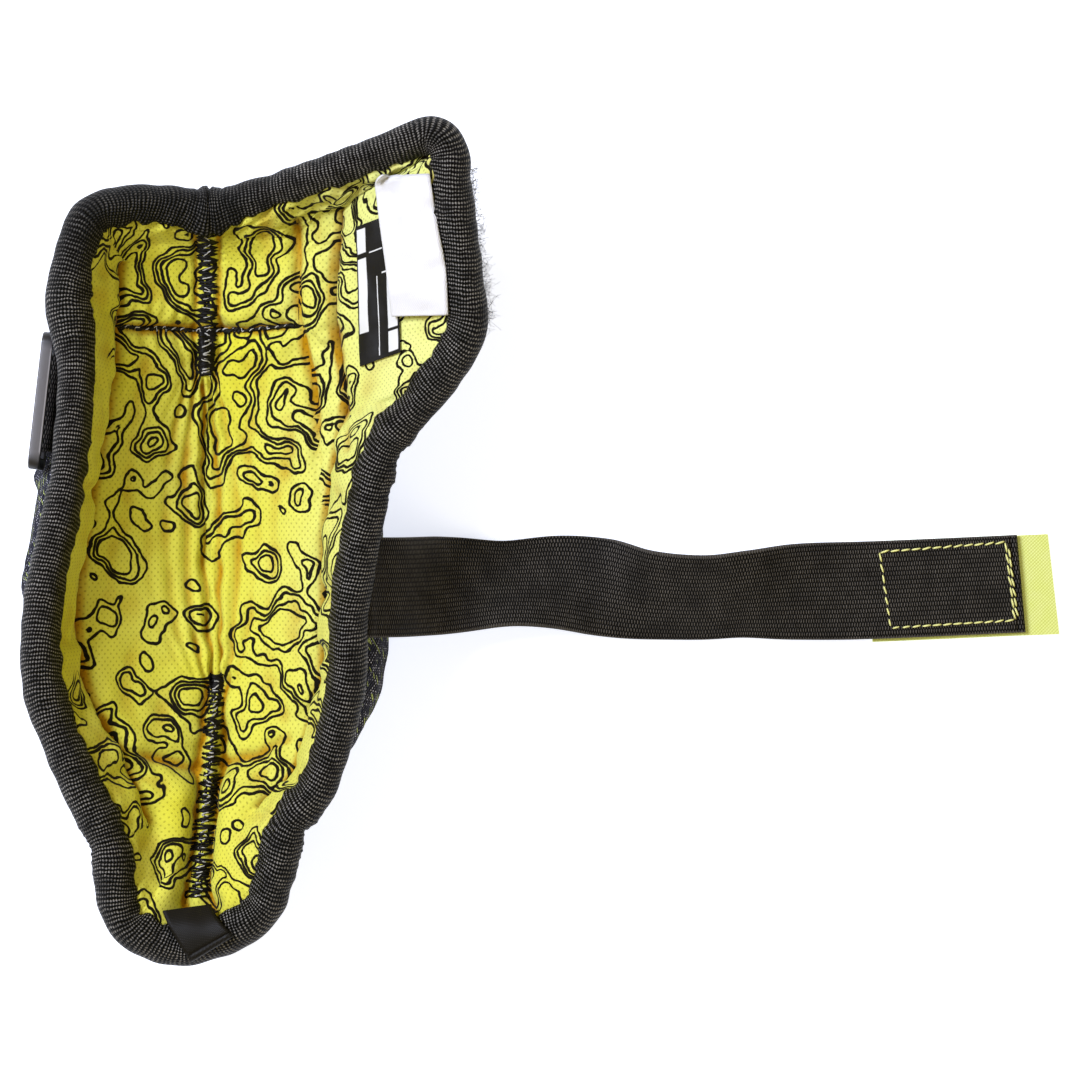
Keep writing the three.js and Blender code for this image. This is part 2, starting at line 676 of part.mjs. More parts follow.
function add(name, geometry, color, roughness, parent = pad) {
  const mesh = new THREE.Mesh(geometry, new THREE.MeshStandardMaterial({ color, roughness, metalness: 0 }));
  mesh.name = name;
  parent.add(mesh);
  return mesh;
}

add('outer_shell', outerShell(), COLOURS.shell, 0.85);
add('edge_binding', edgeBinding(), COLOURS.binding, 0.8);

const leftSide = liningPanel(LEFT_PANEL.from * STEPS, LEFT_PANEL.to * STEPS, always, false);
const rightSide = liningPanel(RIGHT_PANEL.from * STEPS, RIGHT_PANEL.to * STEPS, always, false);
const cuff = liningPanel(...CUFF_SPAN, topEdge, true);
const center = liningPanel(...CENTER_SPAN, tongue, true);
add('liner_left', leftSide, COLOURS.lining, 0.75);
add('liner_right', rightSide, COLOURS.lining, 0.75);
add('liner_cuff', cuff, COLOURS.lining, 0.75);
add('liner_center', center, COLOURS.lining, 0.75);

add('loop_patch', loopPatch(), COLOURS.pile, 0.95);
add('strap', strapBand(), COLOURS.strap, 0.8);
add('hook_tab', hookTab(), COLOURS.hook, 0.6);
add('pull_tab', pullTab(), COLOURS.binding, 0.6);
add('id_patch', idPatch(), COLOURS.binding, 0.5);
add('care_label', careLabel(), COLOURS.white, 0.6);

const ringPlace = new THREE.Group();
ringPlace.position.set(RING_AXIS.x, RING_AXIS.y, RING_AXIS.z);
ringPlace.rotation.z = radians(RING_AXIS.turn);
pad.add(ringPlace);
add('ring_keeper', keeperFold(), COLOURS.strap, 0.8, ringPlace);
const ring = add('ring', ringFrame(), COLOURS.plastic, 0.4, ringPlace);
ring.rotation.y = radians(RING.lean);

export default pad;
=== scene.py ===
"""Hockey elbow pad lying open on a pale floor, seen from straight above."""

import math

import bpy
import numpy as np
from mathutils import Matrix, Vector
from mathutils.bvhtree import BVHTree


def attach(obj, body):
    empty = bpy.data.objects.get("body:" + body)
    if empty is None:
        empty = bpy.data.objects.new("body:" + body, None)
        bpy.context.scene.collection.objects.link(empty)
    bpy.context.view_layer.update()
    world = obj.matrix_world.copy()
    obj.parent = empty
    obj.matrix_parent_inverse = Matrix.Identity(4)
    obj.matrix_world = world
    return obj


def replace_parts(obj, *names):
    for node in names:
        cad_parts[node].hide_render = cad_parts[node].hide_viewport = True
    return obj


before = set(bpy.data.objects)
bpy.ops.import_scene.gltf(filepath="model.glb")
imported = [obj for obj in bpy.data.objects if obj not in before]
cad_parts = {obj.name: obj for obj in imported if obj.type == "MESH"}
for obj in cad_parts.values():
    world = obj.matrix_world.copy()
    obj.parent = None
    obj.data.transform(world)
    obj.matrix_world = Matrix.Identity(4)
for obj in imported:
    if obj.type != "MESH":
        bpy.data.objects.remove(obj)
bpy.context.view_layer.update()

MM = 0.001
PAD = "pad"
LOOP = "loop"

# Sizes of the solids, in millimetres
GAP = 0.3
RIM_THICKNESS = 5.6
TAPE = 1.5
LIP = 3.5
RIM_TOP = 1.4
GRIP = LIP + 1.2
HALF_RIM = RIM_THICKNESS / 2
CHANNEL = HALF_RIM + 0.4
ROLL = HALF_RIM + GAP + TAPE
FLOOR_CURVE = 1.5
REST_SPREAD = 0.3
REST_RADIUS = 17
STRAP_WIDTH = 25.4
STRAP_THICKNESS = 1.5
STRAP_SLANT = 1.1
STRAP_TUCK = 2.4
HOOK = {"width": 26, "thickness": 1.2, "start": 173.5, "end": 220.5, "skew": 3}
RING = {"length": 35, "height": 16, "bar": 3, "corner": 3}
RING_AXIS = {"x": -39.2, "y": 32.7, "z": 21.5, "turn": -6.5}
KEEPER = {"width": 25, "thickness": 0.8, "radius": 2.4}
TAB = {"thickness": 0.7, "slot": 0.6}
LABEL = {"thickness": 0.5, "slot": 0.8, "reach": 1.6, "corner": 1.8}
PATCH_LIFT = 0.75
PILE_SPAN = (7.7, 12.4)

# The rim, clockwise from the upper left corner, as in the solids: middle of the binding roll, fold
# line of the lining, where the section meets the floor line, and how the shell swells below.
RIM_COLUMNS = ["x", "y", "z", "fold_x", "fold_y", "fold_z", "floor_y", "bulge", "belly", "fullness"]
RIM = [
    [-27.4, 77.3, 42, -18.5, 69.0, 29, 63, 1, 30, 1.3],
    [-19.0, 82.0, 38, -14.0, 73.0, 29, 65, 0, 28, 1.2],
    [-8.0, 82.5, 33, -5.5, 74.0, 28, 65.5, -1, 25, 1.1],
    [3.5, 81.0, 30, 3.0, 72.5, 25.5, 66, -1, 23, 1.1],
    [15.0, 84.5, 34, 12.5, 75.0, 28, 65.5, -2, 25, 1.1],
    [36.0, 91.0, 43.5, 31.0, 80.5, 33, 65, -5, 32.5, 1.1],
    [51.0, 96.2, 49.5, 37.0, 82.0, 34, 64.5, -6, 38.5, 1.05],
    [60.1, 98.7, 52.2, 36.6, 80.5, 33, 63.5, -4, 43, 1.05],
    [64.7, 94.4, 53, 36.3, 77.0, 31.5, 62.5, -3, 44, 1.05],
    [65.8, 83.5, 53, 35.4, 71.0, 30, 61, -3, 44, 1.05],
    [68.6, 62.0, 52, 34.8, 58.0, 29, 57, -3, 43, 1.05],
    [68.6, 48.4, 50, 35.5, 46.5, 28, 48, -3, 41, 1.1],
    [58.4, 33.0, 46, 37.5, 33.5, 28, 34, 0, 34, 1.3],
    [48.2, 20.8, 43, 34.8, 20.5, 28, 20, 3, 27, 1.6],
    [43.3, 2.5, 42, 32.2, 2.5, 27, 3, 4, 23, 2],
    [39.5, -20.0, 42, 31.6, -20.0, 27, -20, 8.5, 22, 2],
    [38.5, -40.0, 42, 30.6, -39.0, 27, -39, 7.4, 22, 2],
    [32.0, -63.5, 41, 24.0, -60.0, 28, -59, 2.5, 24, 1.7],
    [24.0, -74.5, 40, 16.0, -70.5, 29, -69, 2, 26, 1.4],
    [20.7, -86.5, 38, 12.0, -81.0, 29, -78, 0, 26, 1.2],
    [15.5, -97.7, 35, 8.5, -88.5, 28.5, -84, -1, 25, 1.1],
    [-1.6, -105.8, 31, -1.0, -94.5, 26.5, -86, -1, 23, 1.1],
    [-14.8, -102.1, 34, -9.0, -92.0, 29, -85, -1, 25, 1.1],
    [-20.0, -94.5, 36, -11.5, -88.0, 28.5, -82, 0, 26, 1.2],
    [-22.0, -79.2, 38, -13.0, -74.0, 28, -75, 1, 26, 1.3],
    [-29.8, -62.6, 40, -19.0, -57.0, 28, -60, 3, 24, 1.6],
    [-38.1, -40.2, 42, -28.0, -39.0, 28, -40, 5.5, 22, 2],
    [-38.2, -18.0, 42, -30.0, -18.0, 27, -18, 6, 22, 2],
    [-33.2, 6.5, 42, -26.6, 6.2, 27, 6, 8.4, 22, 2],
    [-31.2, 20.5, 42, -24.3, 19.8, 27, 20, 5.6, 22, 1.9],
    [-30.0, 41.5, 42, -21.0, 40.0, 27, 40, 4.8, 22, 1.8],
    [-32.0, 60.0, 42, -19.8, 57.0, 28, 58, 3, 25, 1.5],
]
STEPS = 20
STATIONS = len(RIM) * STEPS
LEFT_PANEL = (24, 32)
RIGHT_PANEL = (5, 18)

# Deepest line of the hollow: y, x and height
FLOOR = [
    [-86, 0.5, 23],
    [-60, 2.5, 17],
    [-37, 4.0, 13.5],
    [0, 1.5, 11.5],
    [30, 2.0, 13.5],
    [52, 2.0, 18],
    [66, 2.5, 22],
]

# Strap: middle line, clearance of its lower edge above the floor, twist in degrees.
STRAP_LINE = [
    [44.8, -14.6, 34.4, 0],
    [52.0, -14.6, 27.8, 0],
    [58.5, -14.4, 17.0, -4],
    [67.0, -14.0, 6.0, -18],
    [79.0, -13.8, 0.3, -31],
    [92.0, -13.6, 0.3, -18],
    [103.0, -14.8, 2.0, 0],
    [115.0, -16.8, 0.3, 24],
    [129.0, -17.5, 0.2, 31],
    [141.0, -16.6, 0.3, 27],
    [154.0, -16.0, 1.3, 11],
    [170.0, -15.7, 1.7, 0],
    [190.0, -14.9, 1.7, 0],
    [212.0, -13.9, 1.7, 0],
]
STRAP_STEPS = 14

# How many of these steps to each side the strap's height is averaged over, and how wide the bell is
STRAP_BLUR = 12
BLUR_WIDTH = 4.5

# Ribbon loop: left and right edge from the seam to the fold.
TAB_LINE = [
    [-8.2, -96.4, 35.6, 3.8, -95.0, 33.9],
    [-6.4, -100.2, 37.3, 5.4, -97.6, 36.6],
    [-4.0, -104.4, 37.4, 7.2, -99.6, 38.2],
    [-1.4, -108.4, 36.6, 9.2, -101.8, 38.6],
]

# Folded label: y, x of the sewn edge and of the fold, and their lift above the lining.
LABEL_LINE = [
    [88.6, 58.0, 46.2, 0.7, 1.8],
    [77.0, 59.8, 47.6, 0.6, 2.4],
    [65.0, 62.0, 49.2, 0.6, 2.6],
    [53.5, 62.6, 50.6, 0.6, 2.2],
]

# Printed patch: its low and high end, how far each side is skewed along it, and its thickness
PATCH_LOW = {"y": 43, "left": 42, "right": 52.5}
PATCH_HIGH = {"y": 78, "left": 41, "right": 51.5}
PATCH_SKEW = 1.6
PATCH_FILM = 0.4

# Blank fields and rules on the patch: left, right, low and high
PATCH_FIELDS = [
    [0.3, 2.5, 8.0, 26.6], [0.3, 2.5, 28.0, 34.0], [7.6, 10.0, 1.0, 6.2], [7.6, 10.0, 7.0, 19.5],
    [5.0, 5.25, 1.0, 21.0], [6.4, 10.2, 21.2, 21.6], [3.3, 6.6, 27.4, 27.7],
]

# Sewn lines on the lining, in plan
CROSS_SEAM = [[-19.5, 51.6], [-2.4, 51.2], [12.5, 51.0], [24.4, 52.2]]
SIDE_CREASE = [[25.3, 78.0], [25.8, 53.9], [29.4, 36.6], [30.9, 14.7], [32.0, 4.0]]
WALL_CREASE = [[37.5, 34.0], [38.4, 28.0], [39.3, 20.0]]
TOP_DART = [[2.4, 75.5], [2.0, 58.0], [1.3, 39.5]]
LOW_DART = [[3.8, -41.0], [2.6, -60.0], [0.0, -94.0]]
TONGUE_CREASE = [
    [-20.8, -52.4], [-17.7, -56.3], [-11.3, -58.3], [-2.4, -60.9],
    [5.8, -59.3], [14.3, -57.6], [25.8, -51.9],
]
BAR_TACK = {"x": 3.8, "y": -39.2, "half_width": 2.05, "half_length": 2.0}

# Gathers in the binding: rim row, depth, half width; and the row of its joint at the upper arm
NOTCH_ROW = 3.02
PUCKERS = [
    [5.1, 0.35, 1.6],
    [13.05, 0.8, 3.0],
    [13.6, 0.6, 2.0],
    [18.0, 1.0, 3.0],
    [24.0, 1.0, 3.0],
]

# How much thicker or thinner the binding roll is than in the solids: rim row, millimetres
ROLL_SWELL = [
    [3.6, 0], [4.4, -0.6], [6.2, -0.6], [7.0, 0], [14.6, 0], [15.2, -0.1], [16.5, -0.1], [17.5, 0],
    [19.5, 0.1], [20.2, 0.35], [22.2, 0.3], [23.0, 0], [24.0, 0.3], [26.0, 0.3], [27.0, 0], [28.5, -0.4],
    [29.8, -0.4], [30.2, 0.2], [30.7, 1.0], [31.1, 0.4], [31.6, 0],
]


# Curves in tables

def spline(a, b, c, d, t):
    cube = 3 * b - a - 3 * c + d
    square = 2 * a - 5 * b + 4 * c - d
    return 0.5 * (2 * b + t * (c - a + t * (square + t * cube)))


def along_closed(table, steps):
    rows = np.array(table, float)[:, None, :]
    a, b, c, d = (np.roll(rows, shift, axis=0) for shift in (1, 0, -1, -2))
    t = (np.arange(steps) / steps)[None, :, None]
    return spline(a, b, c, d, t).reshape(-1, rows.shape[2])


def along_open(table, steps):
    """Steps per row of a table whose first axis is followed, with the last row at the end."""
    rows = np.array(table, float)
    padded = np.concatenate([rows[:1], rows, rows[-1:]])
    a, b, c, d = (padded[k:len(rows) - 1 + k, None] for k in range(4))
    t = (np.arange(steps) / steps).reshape(1, steps, *[1] * (rows.ndim - 1))
    fine = spline(a, b, c, d, t)
    return np.concatenate([fine.reshape(-1, *rows.shape[1:]), rows[-1:]])


def unit(v):
    return v / np.maximum(np.linalg.norm(v, axis=-1, keepdims=True), 1e-9)


def lerp(a, b, t):
    return a + (b - a) * t


def smooth(low, high, value):
    t = np.clip((value - low) / (high - low), 0, 1)
    return t * t * (3 - 2 * t)


def bell(value, width):
    return np.exp(-(value / width) ** 2)


def lengths(points):
    """Distance walked along a line of points."""
    steps = np.linalg.norm(np.diff(points, axis=0), axis=1)
    return np.concatenate([[0], np.cumsum(steps)])


def walked_across(grid):
    """Distance walked along each row of a grid of points."""
    return np.cumsum(np.linalg.norm(np.diff(grid, axis=1, prepend=grid[:, :1]), axis=2), axis=1)


def pairs(a, b):
    """Pairs of the values of two arrays that are spread over each other."""
    return np.stack(np.broadcast_arrays(a, b), -1)


def waves(x, y, size, seed, count=14):
    """Smooth random lumps of about this size, from -1 to 1 for the most part."""
    rng = np.random.default_rng(seed)
    total = np.zeros(np.broadcast(x, y).shape)
    for _ in range(count):
        angle = rng.uniform(0, math.tau)
        turn = math.tau / (size * rng.uniform(0.75, 1.6))
        phase = rng.uniform(0, math.tau)
        total += np.cos(turn * (x * math.cos(angle) + y * math.sin(angle)) + phase)
    return total / math.sqrt(count)


def line_offset(x, y, line):
    """Distance from points of the plan to a line, side and place along it from 0 to 1."""
    points = np.array(line, float)
    walked = lengths(points)
    best = np.full(x.shape, 1e9)
    side = np.zeros(x.shape)
    place = np.zeros(x.shape)
    for (ax, ay), (bx, by), start, end in zip(points, points[1:], walked, walked[1:]):
        dx, dy = bx - ax, by - ay
        t = np.clip(((x - ax) * dx + (y - ay) * dy) / (dx * dx + dy * dy), 0, 1)
        ox, oy = x - ax - t * dx, y - ay - t * dy
        away = np.hypot(ox, oy)
        nearer = away < best
        best = np.where(nearer, away, best)
        side = np.where(nearer, (dx * oy - dy * ox) / math.hypot(dx, dy), side)
        place = np.where(nearer, lerp(start, end, t) / walked[-1], place)
    return best, side, place


def floor_at(y):
    """Points of the hollow's deepest line at these y."""
    fine = along_open(FLOOR, 40)
    return np.stack([np.interp(y, fine[:, 0], fine[:, 1]), y, np.interp(y, fine[:, 0], fine[:, 2])], -1)


# Meshes

def piece(name, points, faces, material, body=PAD, uv=None, shift=None, painted_light=None):
    """A smooth mesh from points in millimetres.

    uv and the painted shade and highlight values are given per point, shift moves the uv face by face.
    """
    mesh = bpy.data.meshes.new(name)
    corners = [list(map(int, face)) for face in faces]
    mesh.from_pydata((np.reshape(points, (-1, 3)) * MM).tolist(), [], corners)
    mesh.polygons.foreach_set("use_smooth", np.ones(len(mesh.polygons), bool))
    if uv is not None:
        corner = np.zeros(len(mesh.loops), int)
        mesh.loops.foreach_get("vertex_index", corner)
        flat = np.reshape(uv, (-1, 2))[corner] * MM
        if shift is not None:
            flat = flat + np.repeat(shift, [len(face) for face in faces], axis=0) * MM
        mesh.uv_layers.new(name="Cloth").data.foreach_set("uv", flat.ravel())
    if painted_light is not None:
        values = mesh.attributes.new("PaintedLight", "FLOAT", "POINT")
        values.data.foreach_set("value", np.asarray(painted_light, np.float32).ravel())
    mesh.update()
    mesh.materials.append(material)
    made = bpy.data.objects.new(name, mesh)
    bpy.context.scene.collection.objects.link(made)
    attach(made, body)
    return made


def grid_faces(rows, columns, close_rows=False, close_columns=False, flip=False):
    """Quads of a grid of points stored row after row."""
    i = np.arange(rows if close_rows else rows - 1)[:, None]
    k = np.arange(columns if close_columns else columns - 1)[None, :]
    below, beside = (i + 1) % rows, (k + 1) % columns
    quads = np.stack(np.broadcast_arrays(
        i * columns + k, i * columns + beside, below * columns + beside, below * columns + k), -1)
    quads = quads.reshape(-1, 4)
    return quads[:, ::-1] if flip else quads


def tube_faces(rows, columns, flip=False):
    """Faces of a tube of rings of points, with its two ends."""
    last = np.arange(columns) + (rows - 1) * columns
    faces = grid_faces(rows, columns, close_columns=True).tolist()
    faces += [list(range(columns))[::-1], last.tolist()]
    return [face[::-1] for face in faces] if flip else faces


def back_to_back(top, bottom):
    """Points and faces of the two sides of a sheet, the second one facing away."""
    shape = top.shape[:2]
    under = grid_faces(*shape, flip=True) + shape[0] * shape[1]
    faces = np.concatenate([grid_faces(*shape), under])
    return np.concatenate([top.reshape(-1, 3), bottom.reshape(-1, 3)]), faces.tolist()


class Threads:
    """Tubes gathered into one mesh."""

    def __init__(self):
        self.points = []
        self.faces = []
        self.count = 0

    def tube(self, line, radius, sides=6):
        line = np.asarray(line, float)
        radius = np.broadcast_to(radius, len(line))
        along = unit(np.gradient(line, axis=0))
        level = np.where(np.abs(along[:, 2:]) > 0.9, [[1.0, 0, 0]], [[0, 0, 1.0]])
        side = unit(np.cross(along, level))
        rise = np.cross(side, along)
        turn = np.arange(sides) / sides * math.tau
        ring = side[:, None] * np.cos(turn)[None, :, None] + rise[:, None] * np.sin(turn)[None, :, None]
        points = line[:, None] + ring * radius[:, None, None]
        self.points.append(points.reshape(-1, 3))
        self.faces += [[k + self.count for k in face] for face in tube_faces(len(line), sides)]
        self.count += len(line) * sides

    def stitch(self, start, end, radius, rise):
        """A short thread on level cloth that dips into it at both ends."""
        t = np.linspace(0, 1, 7)[:, None]
        line = lerp(np.array(start), np.array(end), t)
        line[:, 2:] += np.sin(t * math.pi) ** 0.6 * rise - 0.12
        self.tube(line, radius * (0.7 + 0.3 * np.sin(t[:, 0] * math.pi)))

    def made(self, name, material, slot):
        return piece(name, np.concatenate(self.points), self.faces, material)


# Stations around the rim

rim = dict(zip(RIM_COLUMNS, along_closed(RIM, STEPS).T))
roll = np.stack([rim["x"], rim["y"], rim["z"]], -1)
fold = np.stack([rim["fold_x"], rim["fold_y"], rim["fold_z"]], -1)
tangent = unit(np.roll(roll, -1, axis=0) - np.roll(roll, 1, axis=0))
inward = unit(np.cross(tangent, [0, 0, 1]))
to_fold = fold - roll
down = unit(to_fold - tangent * (to_fold * tangent).sum(-1, keepdims=True))
normal = unit(np.cross(down, tangent))
rim_walk = lengths(np.concatenate([roll, roll[:1]]))
RIM_LENGTH = rim_walk[-1]
rim_walk = rim_walk[:-1]


def wall(across, depth):
    """Points of the wall at every station: across to the inside from the roll's middle, and down."""
    return roll + normal * np.reshape(across, (-1, 1)) + down * np.reshape(depth, (-1, 1))


def rim_place(row):
    """Distance along the rim of a place between two rows of its table."""
    return np.interp(row * STEPS, np.arange(STATIONS + 1), np.append(rim_walk, RIM_LENGTH))


def rim_distance(place):
    away = np.abs(rim_walk - place)
    return np.minimum(away, RIM_LENGTH - away)


def rim_waves(size, seed):
    return waves(rim_walk, 0 * rim_walk, size, seed)


def panel_stations(more=0):
    """Which stations belong to the two side panels, with this many more at the end of each."""
    sewn = np.zeros(STATIONS, bool)
    for start, end in (LEFT_PANEL, RIGHT_PANEL):
        sewn[start * STEPS:end * STEPS + more] = True
    return sewn


def rim_skin(name, grid, across, material, slot, **closing):
    """A piece that runs once round the rim, with its uv along the rim and across."""
    uv = pairs(rim_walk[:, None], across)
    uv = np.concatenate([uv, uv[:1] + [RIM_LENGTH, 0]])
    points = np.concatenate([grid, grid[:1]])
    return piece(name, points, grid_faces(*points.shape[:2], **closing), material, uv=uv)


# Materials

class Shader:
    """A material whose Principled shader is fed by nodes."""

    def __init__(self, name, tint, roughness, **settings):
        self.material = bpy.data.materials.new(name)
        self.material.use_nodes = True
        self.tree = self.material.node_tree
        self.surface = self.tree.nodes["Principled BSDF"]
        self.set("Base Color", tint)
        self.set("Roughness", roughness)
        for socket, value in settings.items():
            self.set(socket.replace("_", " ").title().replace("Ior", "IOR"), value)

    def set(self, socket, value):
        self.feed(self.surface.inputs[socket], value)

    def feed(self, socket, value):
        if isinstance(value, bpy.types.NodeSocket):
            self.tree.links.new(value, socket)
        else:
            socket.default_value = (*value, 1) if socket.type == "RGBA" else value

    def node(self, kind, *inputs, **settings):
        made = self.tree.nodes.new("ShaderNode" + kind)
        for key, value in settings.items():
            setattr(made, key, value)
        for socket, value in zip(made.inputs, inputs):
            self.feed(socket, value)
        return made

    def math(self, operation, *values):
        return self.node("Math", *values, operation=operation).outputs[0]

    def times(self, a, b):
        return self.math("MULTIPLY", a, b)

    def scaled(self, value, scale, offset):
        """Value times scale plus offset."""
        return self.math("MULTIPLY_ADD", value, scale, offset)

    def less(self, a, b):
        return self.math("SUBTRACT", a, b)

    def vectors(self, operation, a, b):
        return self.node("VectorMath", a, b, operation=operation).outputs[0]

    def step(self, value, low, high, to_low=0.0, to_high=1.0):
        """Smooth step of a value between two limits."""
        made = self.node("MapRange", value, low, high, to_low, to_high, interpolation_type="SMOOTHSTEP")
        return made.outputs[0]

    def mix(self, share, a, b):
        made = self.node("Mix", data_type="RGBA")
        for socket, value in ((0, share), (6, a), (7, b)):
            self.feed(made.inputs[socket], value)
        return made.outputs[2]

    def paint(self, share, a, b):
        """Base colour that goes from a to b with the share."""
        self.set("Base Color", self.mix(share, a, b))

    def cloth(self):
        """Coordinates in metres on the cloth: vector, along and across."""
        vector = self.node("UVMap", uv_map="Cloth").outputs[0]
        split = self.node("SeparateXYZ", vector)
        return vector, split.outputs[0], split.outputs[1]

    def place(self):
        """Coordinates in metres on the piece."""
        return self.node("TexCoord").outputs["Object"]

    def spot(self):
        """The same coordinates one by one."""
        return self.node("SeparateXYZ", self.place()).outputs

    def painted_light(self):
        """Painted shade and highlight that the mesh keeps for each point."""
        return self.node("Attribute", attribute_name="PaintedLight").outputs["Fac"]

    def named(self, made, **inputs):
        """Feeds a node's sockets by their names."""
        for name, value in inputs.items():
            self.feed(made.inputs[name], value)
        return made.outputs

    def noise(self, vector, size, detail=2.0, roughness=0.5, dimensions="2D", output="Fac"):
        made = self.node("TexNoise", noise_dimensions=dimensions)
        return self.named(made, Vector=vector, Scale=1 / size, Detail=detail, Roughness=roughness)[output]

    def ripple(self, value, pitch):
        """Sine of a coordinate with this pitch in metres."""
        return self.math("SINE", self.times(value, math.tau / pitch))

    def sway(self, angle):
        """Sine of an angle, from 0 to 1."""
        return self.scaled(self.math("SINE", angle), 0.5, 0.5)

    def bump(self, height, depth, strength=1.0):
        made = self.named(self.node("Bump"), Strength=strength, Distance=depth, Height=height)
        self.set("Normal", made[0])


def color(*screen):
    """Linear colour of an 8-bit screen colour."""
    return tuple(((v / 255 + 0.055) / 1.055) ** 2.4 if v > 10 else v / 255 / 12.92 for v in screen)


# Print on the lining: heights of its contour lines, and sizes on the cloth in metres
PRINT_LEVELS = (0.28, 0.34, 0.395, 0.445, 0.60, 0.65, 0.70)
PRINT_SIZE = 0.0175
PRINT_REACH = 0.0002
PRINT_SHAKE = 0.0011
SHAKE_SIZE = 0.0035
LEAST_SLOPE = 4.0
LINE_CORE = 0.00031
LINE_EDGE = 0.00044
PLAIN_FADE = 0.006
PLAIN_PUSH = 0.0006
HOLE_PITCH = (0.0016, 0.0019)
GRAIN_PITCH = 0.00053
# Span in metres along the piece's x over which the lining is painted paler, as painted light where the
# light falls.
LIT_PALE_SPAN = (0.008, 0.062)


def lining_material(name, plain=None):
    """Yellow knit with pinholes and contour lines printed on it, but for a plain span of the cloth; golden
    painted shade in its creases, and painted light that makes it paler towards the right.
    """
    shader = Shader(name, color(212, 206, 54), 0.8, sheen_weight=0.06, specular_ior_level=0.12)
    vector, along, across = shader.cloth()
    shake = shader.noise(vector, SHAKE_SIZE, output="Color")
    moved = shader.vectors("MULTIPLY", shake, (PRINT_SHAKE, PRINT_SHAKE, 0))
    drawn = shader.vectors("ADD", vector, moved)

    def height(offset):
        return shader.noise(shader.vectors("ADD", drawn, offset), PRINT_SIZE, 1.8, 0.45)

    ground = height((0, 0, 0))
    east = shader.less(height((PRINT_REACH, 0, 0)), ground)
    north = shader.less(height((0, PRINT_REACH, 0)), ground)
    squares = shader.scaled(east, east, shader.times(north, north))
    slope = shader.times(shader.math("SQRT", squares), 1 / PRINT_REACH)
    nearest = 1.0
    for level in PRINT_LEVELS:
        away = shader.math("ABSOLUTE", shader.less(ground, level))
        nearest = shader.math("MINIMUM", away, nearest)
    distance = shader.math("DIVIDE", nearest, shader.math("MAXIMUM", slope, LEAST_SLOPE))
    if plain is not None:
        start, end = plain
        begun = shader.step(across, start - PLAIN_FADE, start)
        bare = shader.times(begun, shader.step(across, end + PLAIN_FADE, end))
        distance = shader.scaled(bare, PLAIN_PUSH, distance)
    ink = shader.step(distance, LINE_CORE, LINE_EDGE, 1.0, 0.0)

    knit = shader.times(shader.ripple(along, HOLE_PITCH[0]), shader.ripple(across, HOLE_PITCH[1]))
    holes = shader.step(knit, 0.45, 0.95)
    patchy = shader.noise(vector, 0.03)
    # Painted light: paler towards the right, where the light falls; the random patches are the cloth's own
    # tone.
    painted_light_paleness = shader.step(shader.spot()[0], *LIT_PALE_SPAN, 0.0, 0.85)
    random_and_painted_paleness = shader.scaled(patchy, 0.5, painted_light_paleness)
    yellow = shader.mix(random_and_painted_paleness, color(206, 199, 32), color(219, 222, 132))
    # Golden painted shade in the creases, where the folds fall into shadow.
    with_painted_shade = shader.mix(shader.painted_light(), yellow, color(172, 126, 0))
    pierced = shader.mix(shader.times(holes, 0.36), with_painted_shade, color(84, 60, 0))
    shader.paint(ink, pierced, color(16, 11, 1))
    grain = shader.times(shader.ripple(along, GRAIN_PITCH), shader.ripple(across, GRAIN_PITCH))
    relief = shader.less(shader.times(grain, 0.25), holes)
    shader.bump(relief, 0.00012, 0.8)
    return shader.material


def ribbon_material():
    """Fine ribbed ribbon: ribs across it, broken into small crowns by the rows of the weave."""
    dark, light = color(16, 14, 10), color(36, 32, 25)
    pitch, row = 0.00042, 0.0007
    shader = Shader("ribbon", dark, 0.5, specular_ior_level=0.15)
    vector, along, across = shader.cloth()
    rib = shader.scaled(shader.ripple(along, pitch), 0.5, 0.5)
    half = shader.times(shader.math("SIGN", shader.ripple(along, 2 * pitch)), math.pi / 2)
    angle = shader.scaled(across, math.tau / row, half)
    crown = shader.scaled(shader.math("SINE", angle), 0.36, 0.64)
    thread = shader.times(rib, crown)
    worn = shader.noise(vector, 0.006, 3.0, 0.6)
    # The crowns are painted lighter: partly the weave's pattern, partly painted highlight.
    lit = shader.times(shader.step(thread, 0.25, 0.95), shader.step(worn, 0.2, 0.75, 0.35, 1.0))
    shader.paint(lit, dark, light)
    shader.bump(thread, 0.00005)
    return shader.material


# Binding tape, in metres: pitch of its ribs and of their ties, and how the ribs arch across the roll
RIB_PITCH = 0.00102
TIE_PITCH = 0.00074
TIE_LEAN = 900.0
TAPE_MIDDLE = 0.0095
ARCH_RADIUS = 0.0034
ARCH_SLOPE = 0.26


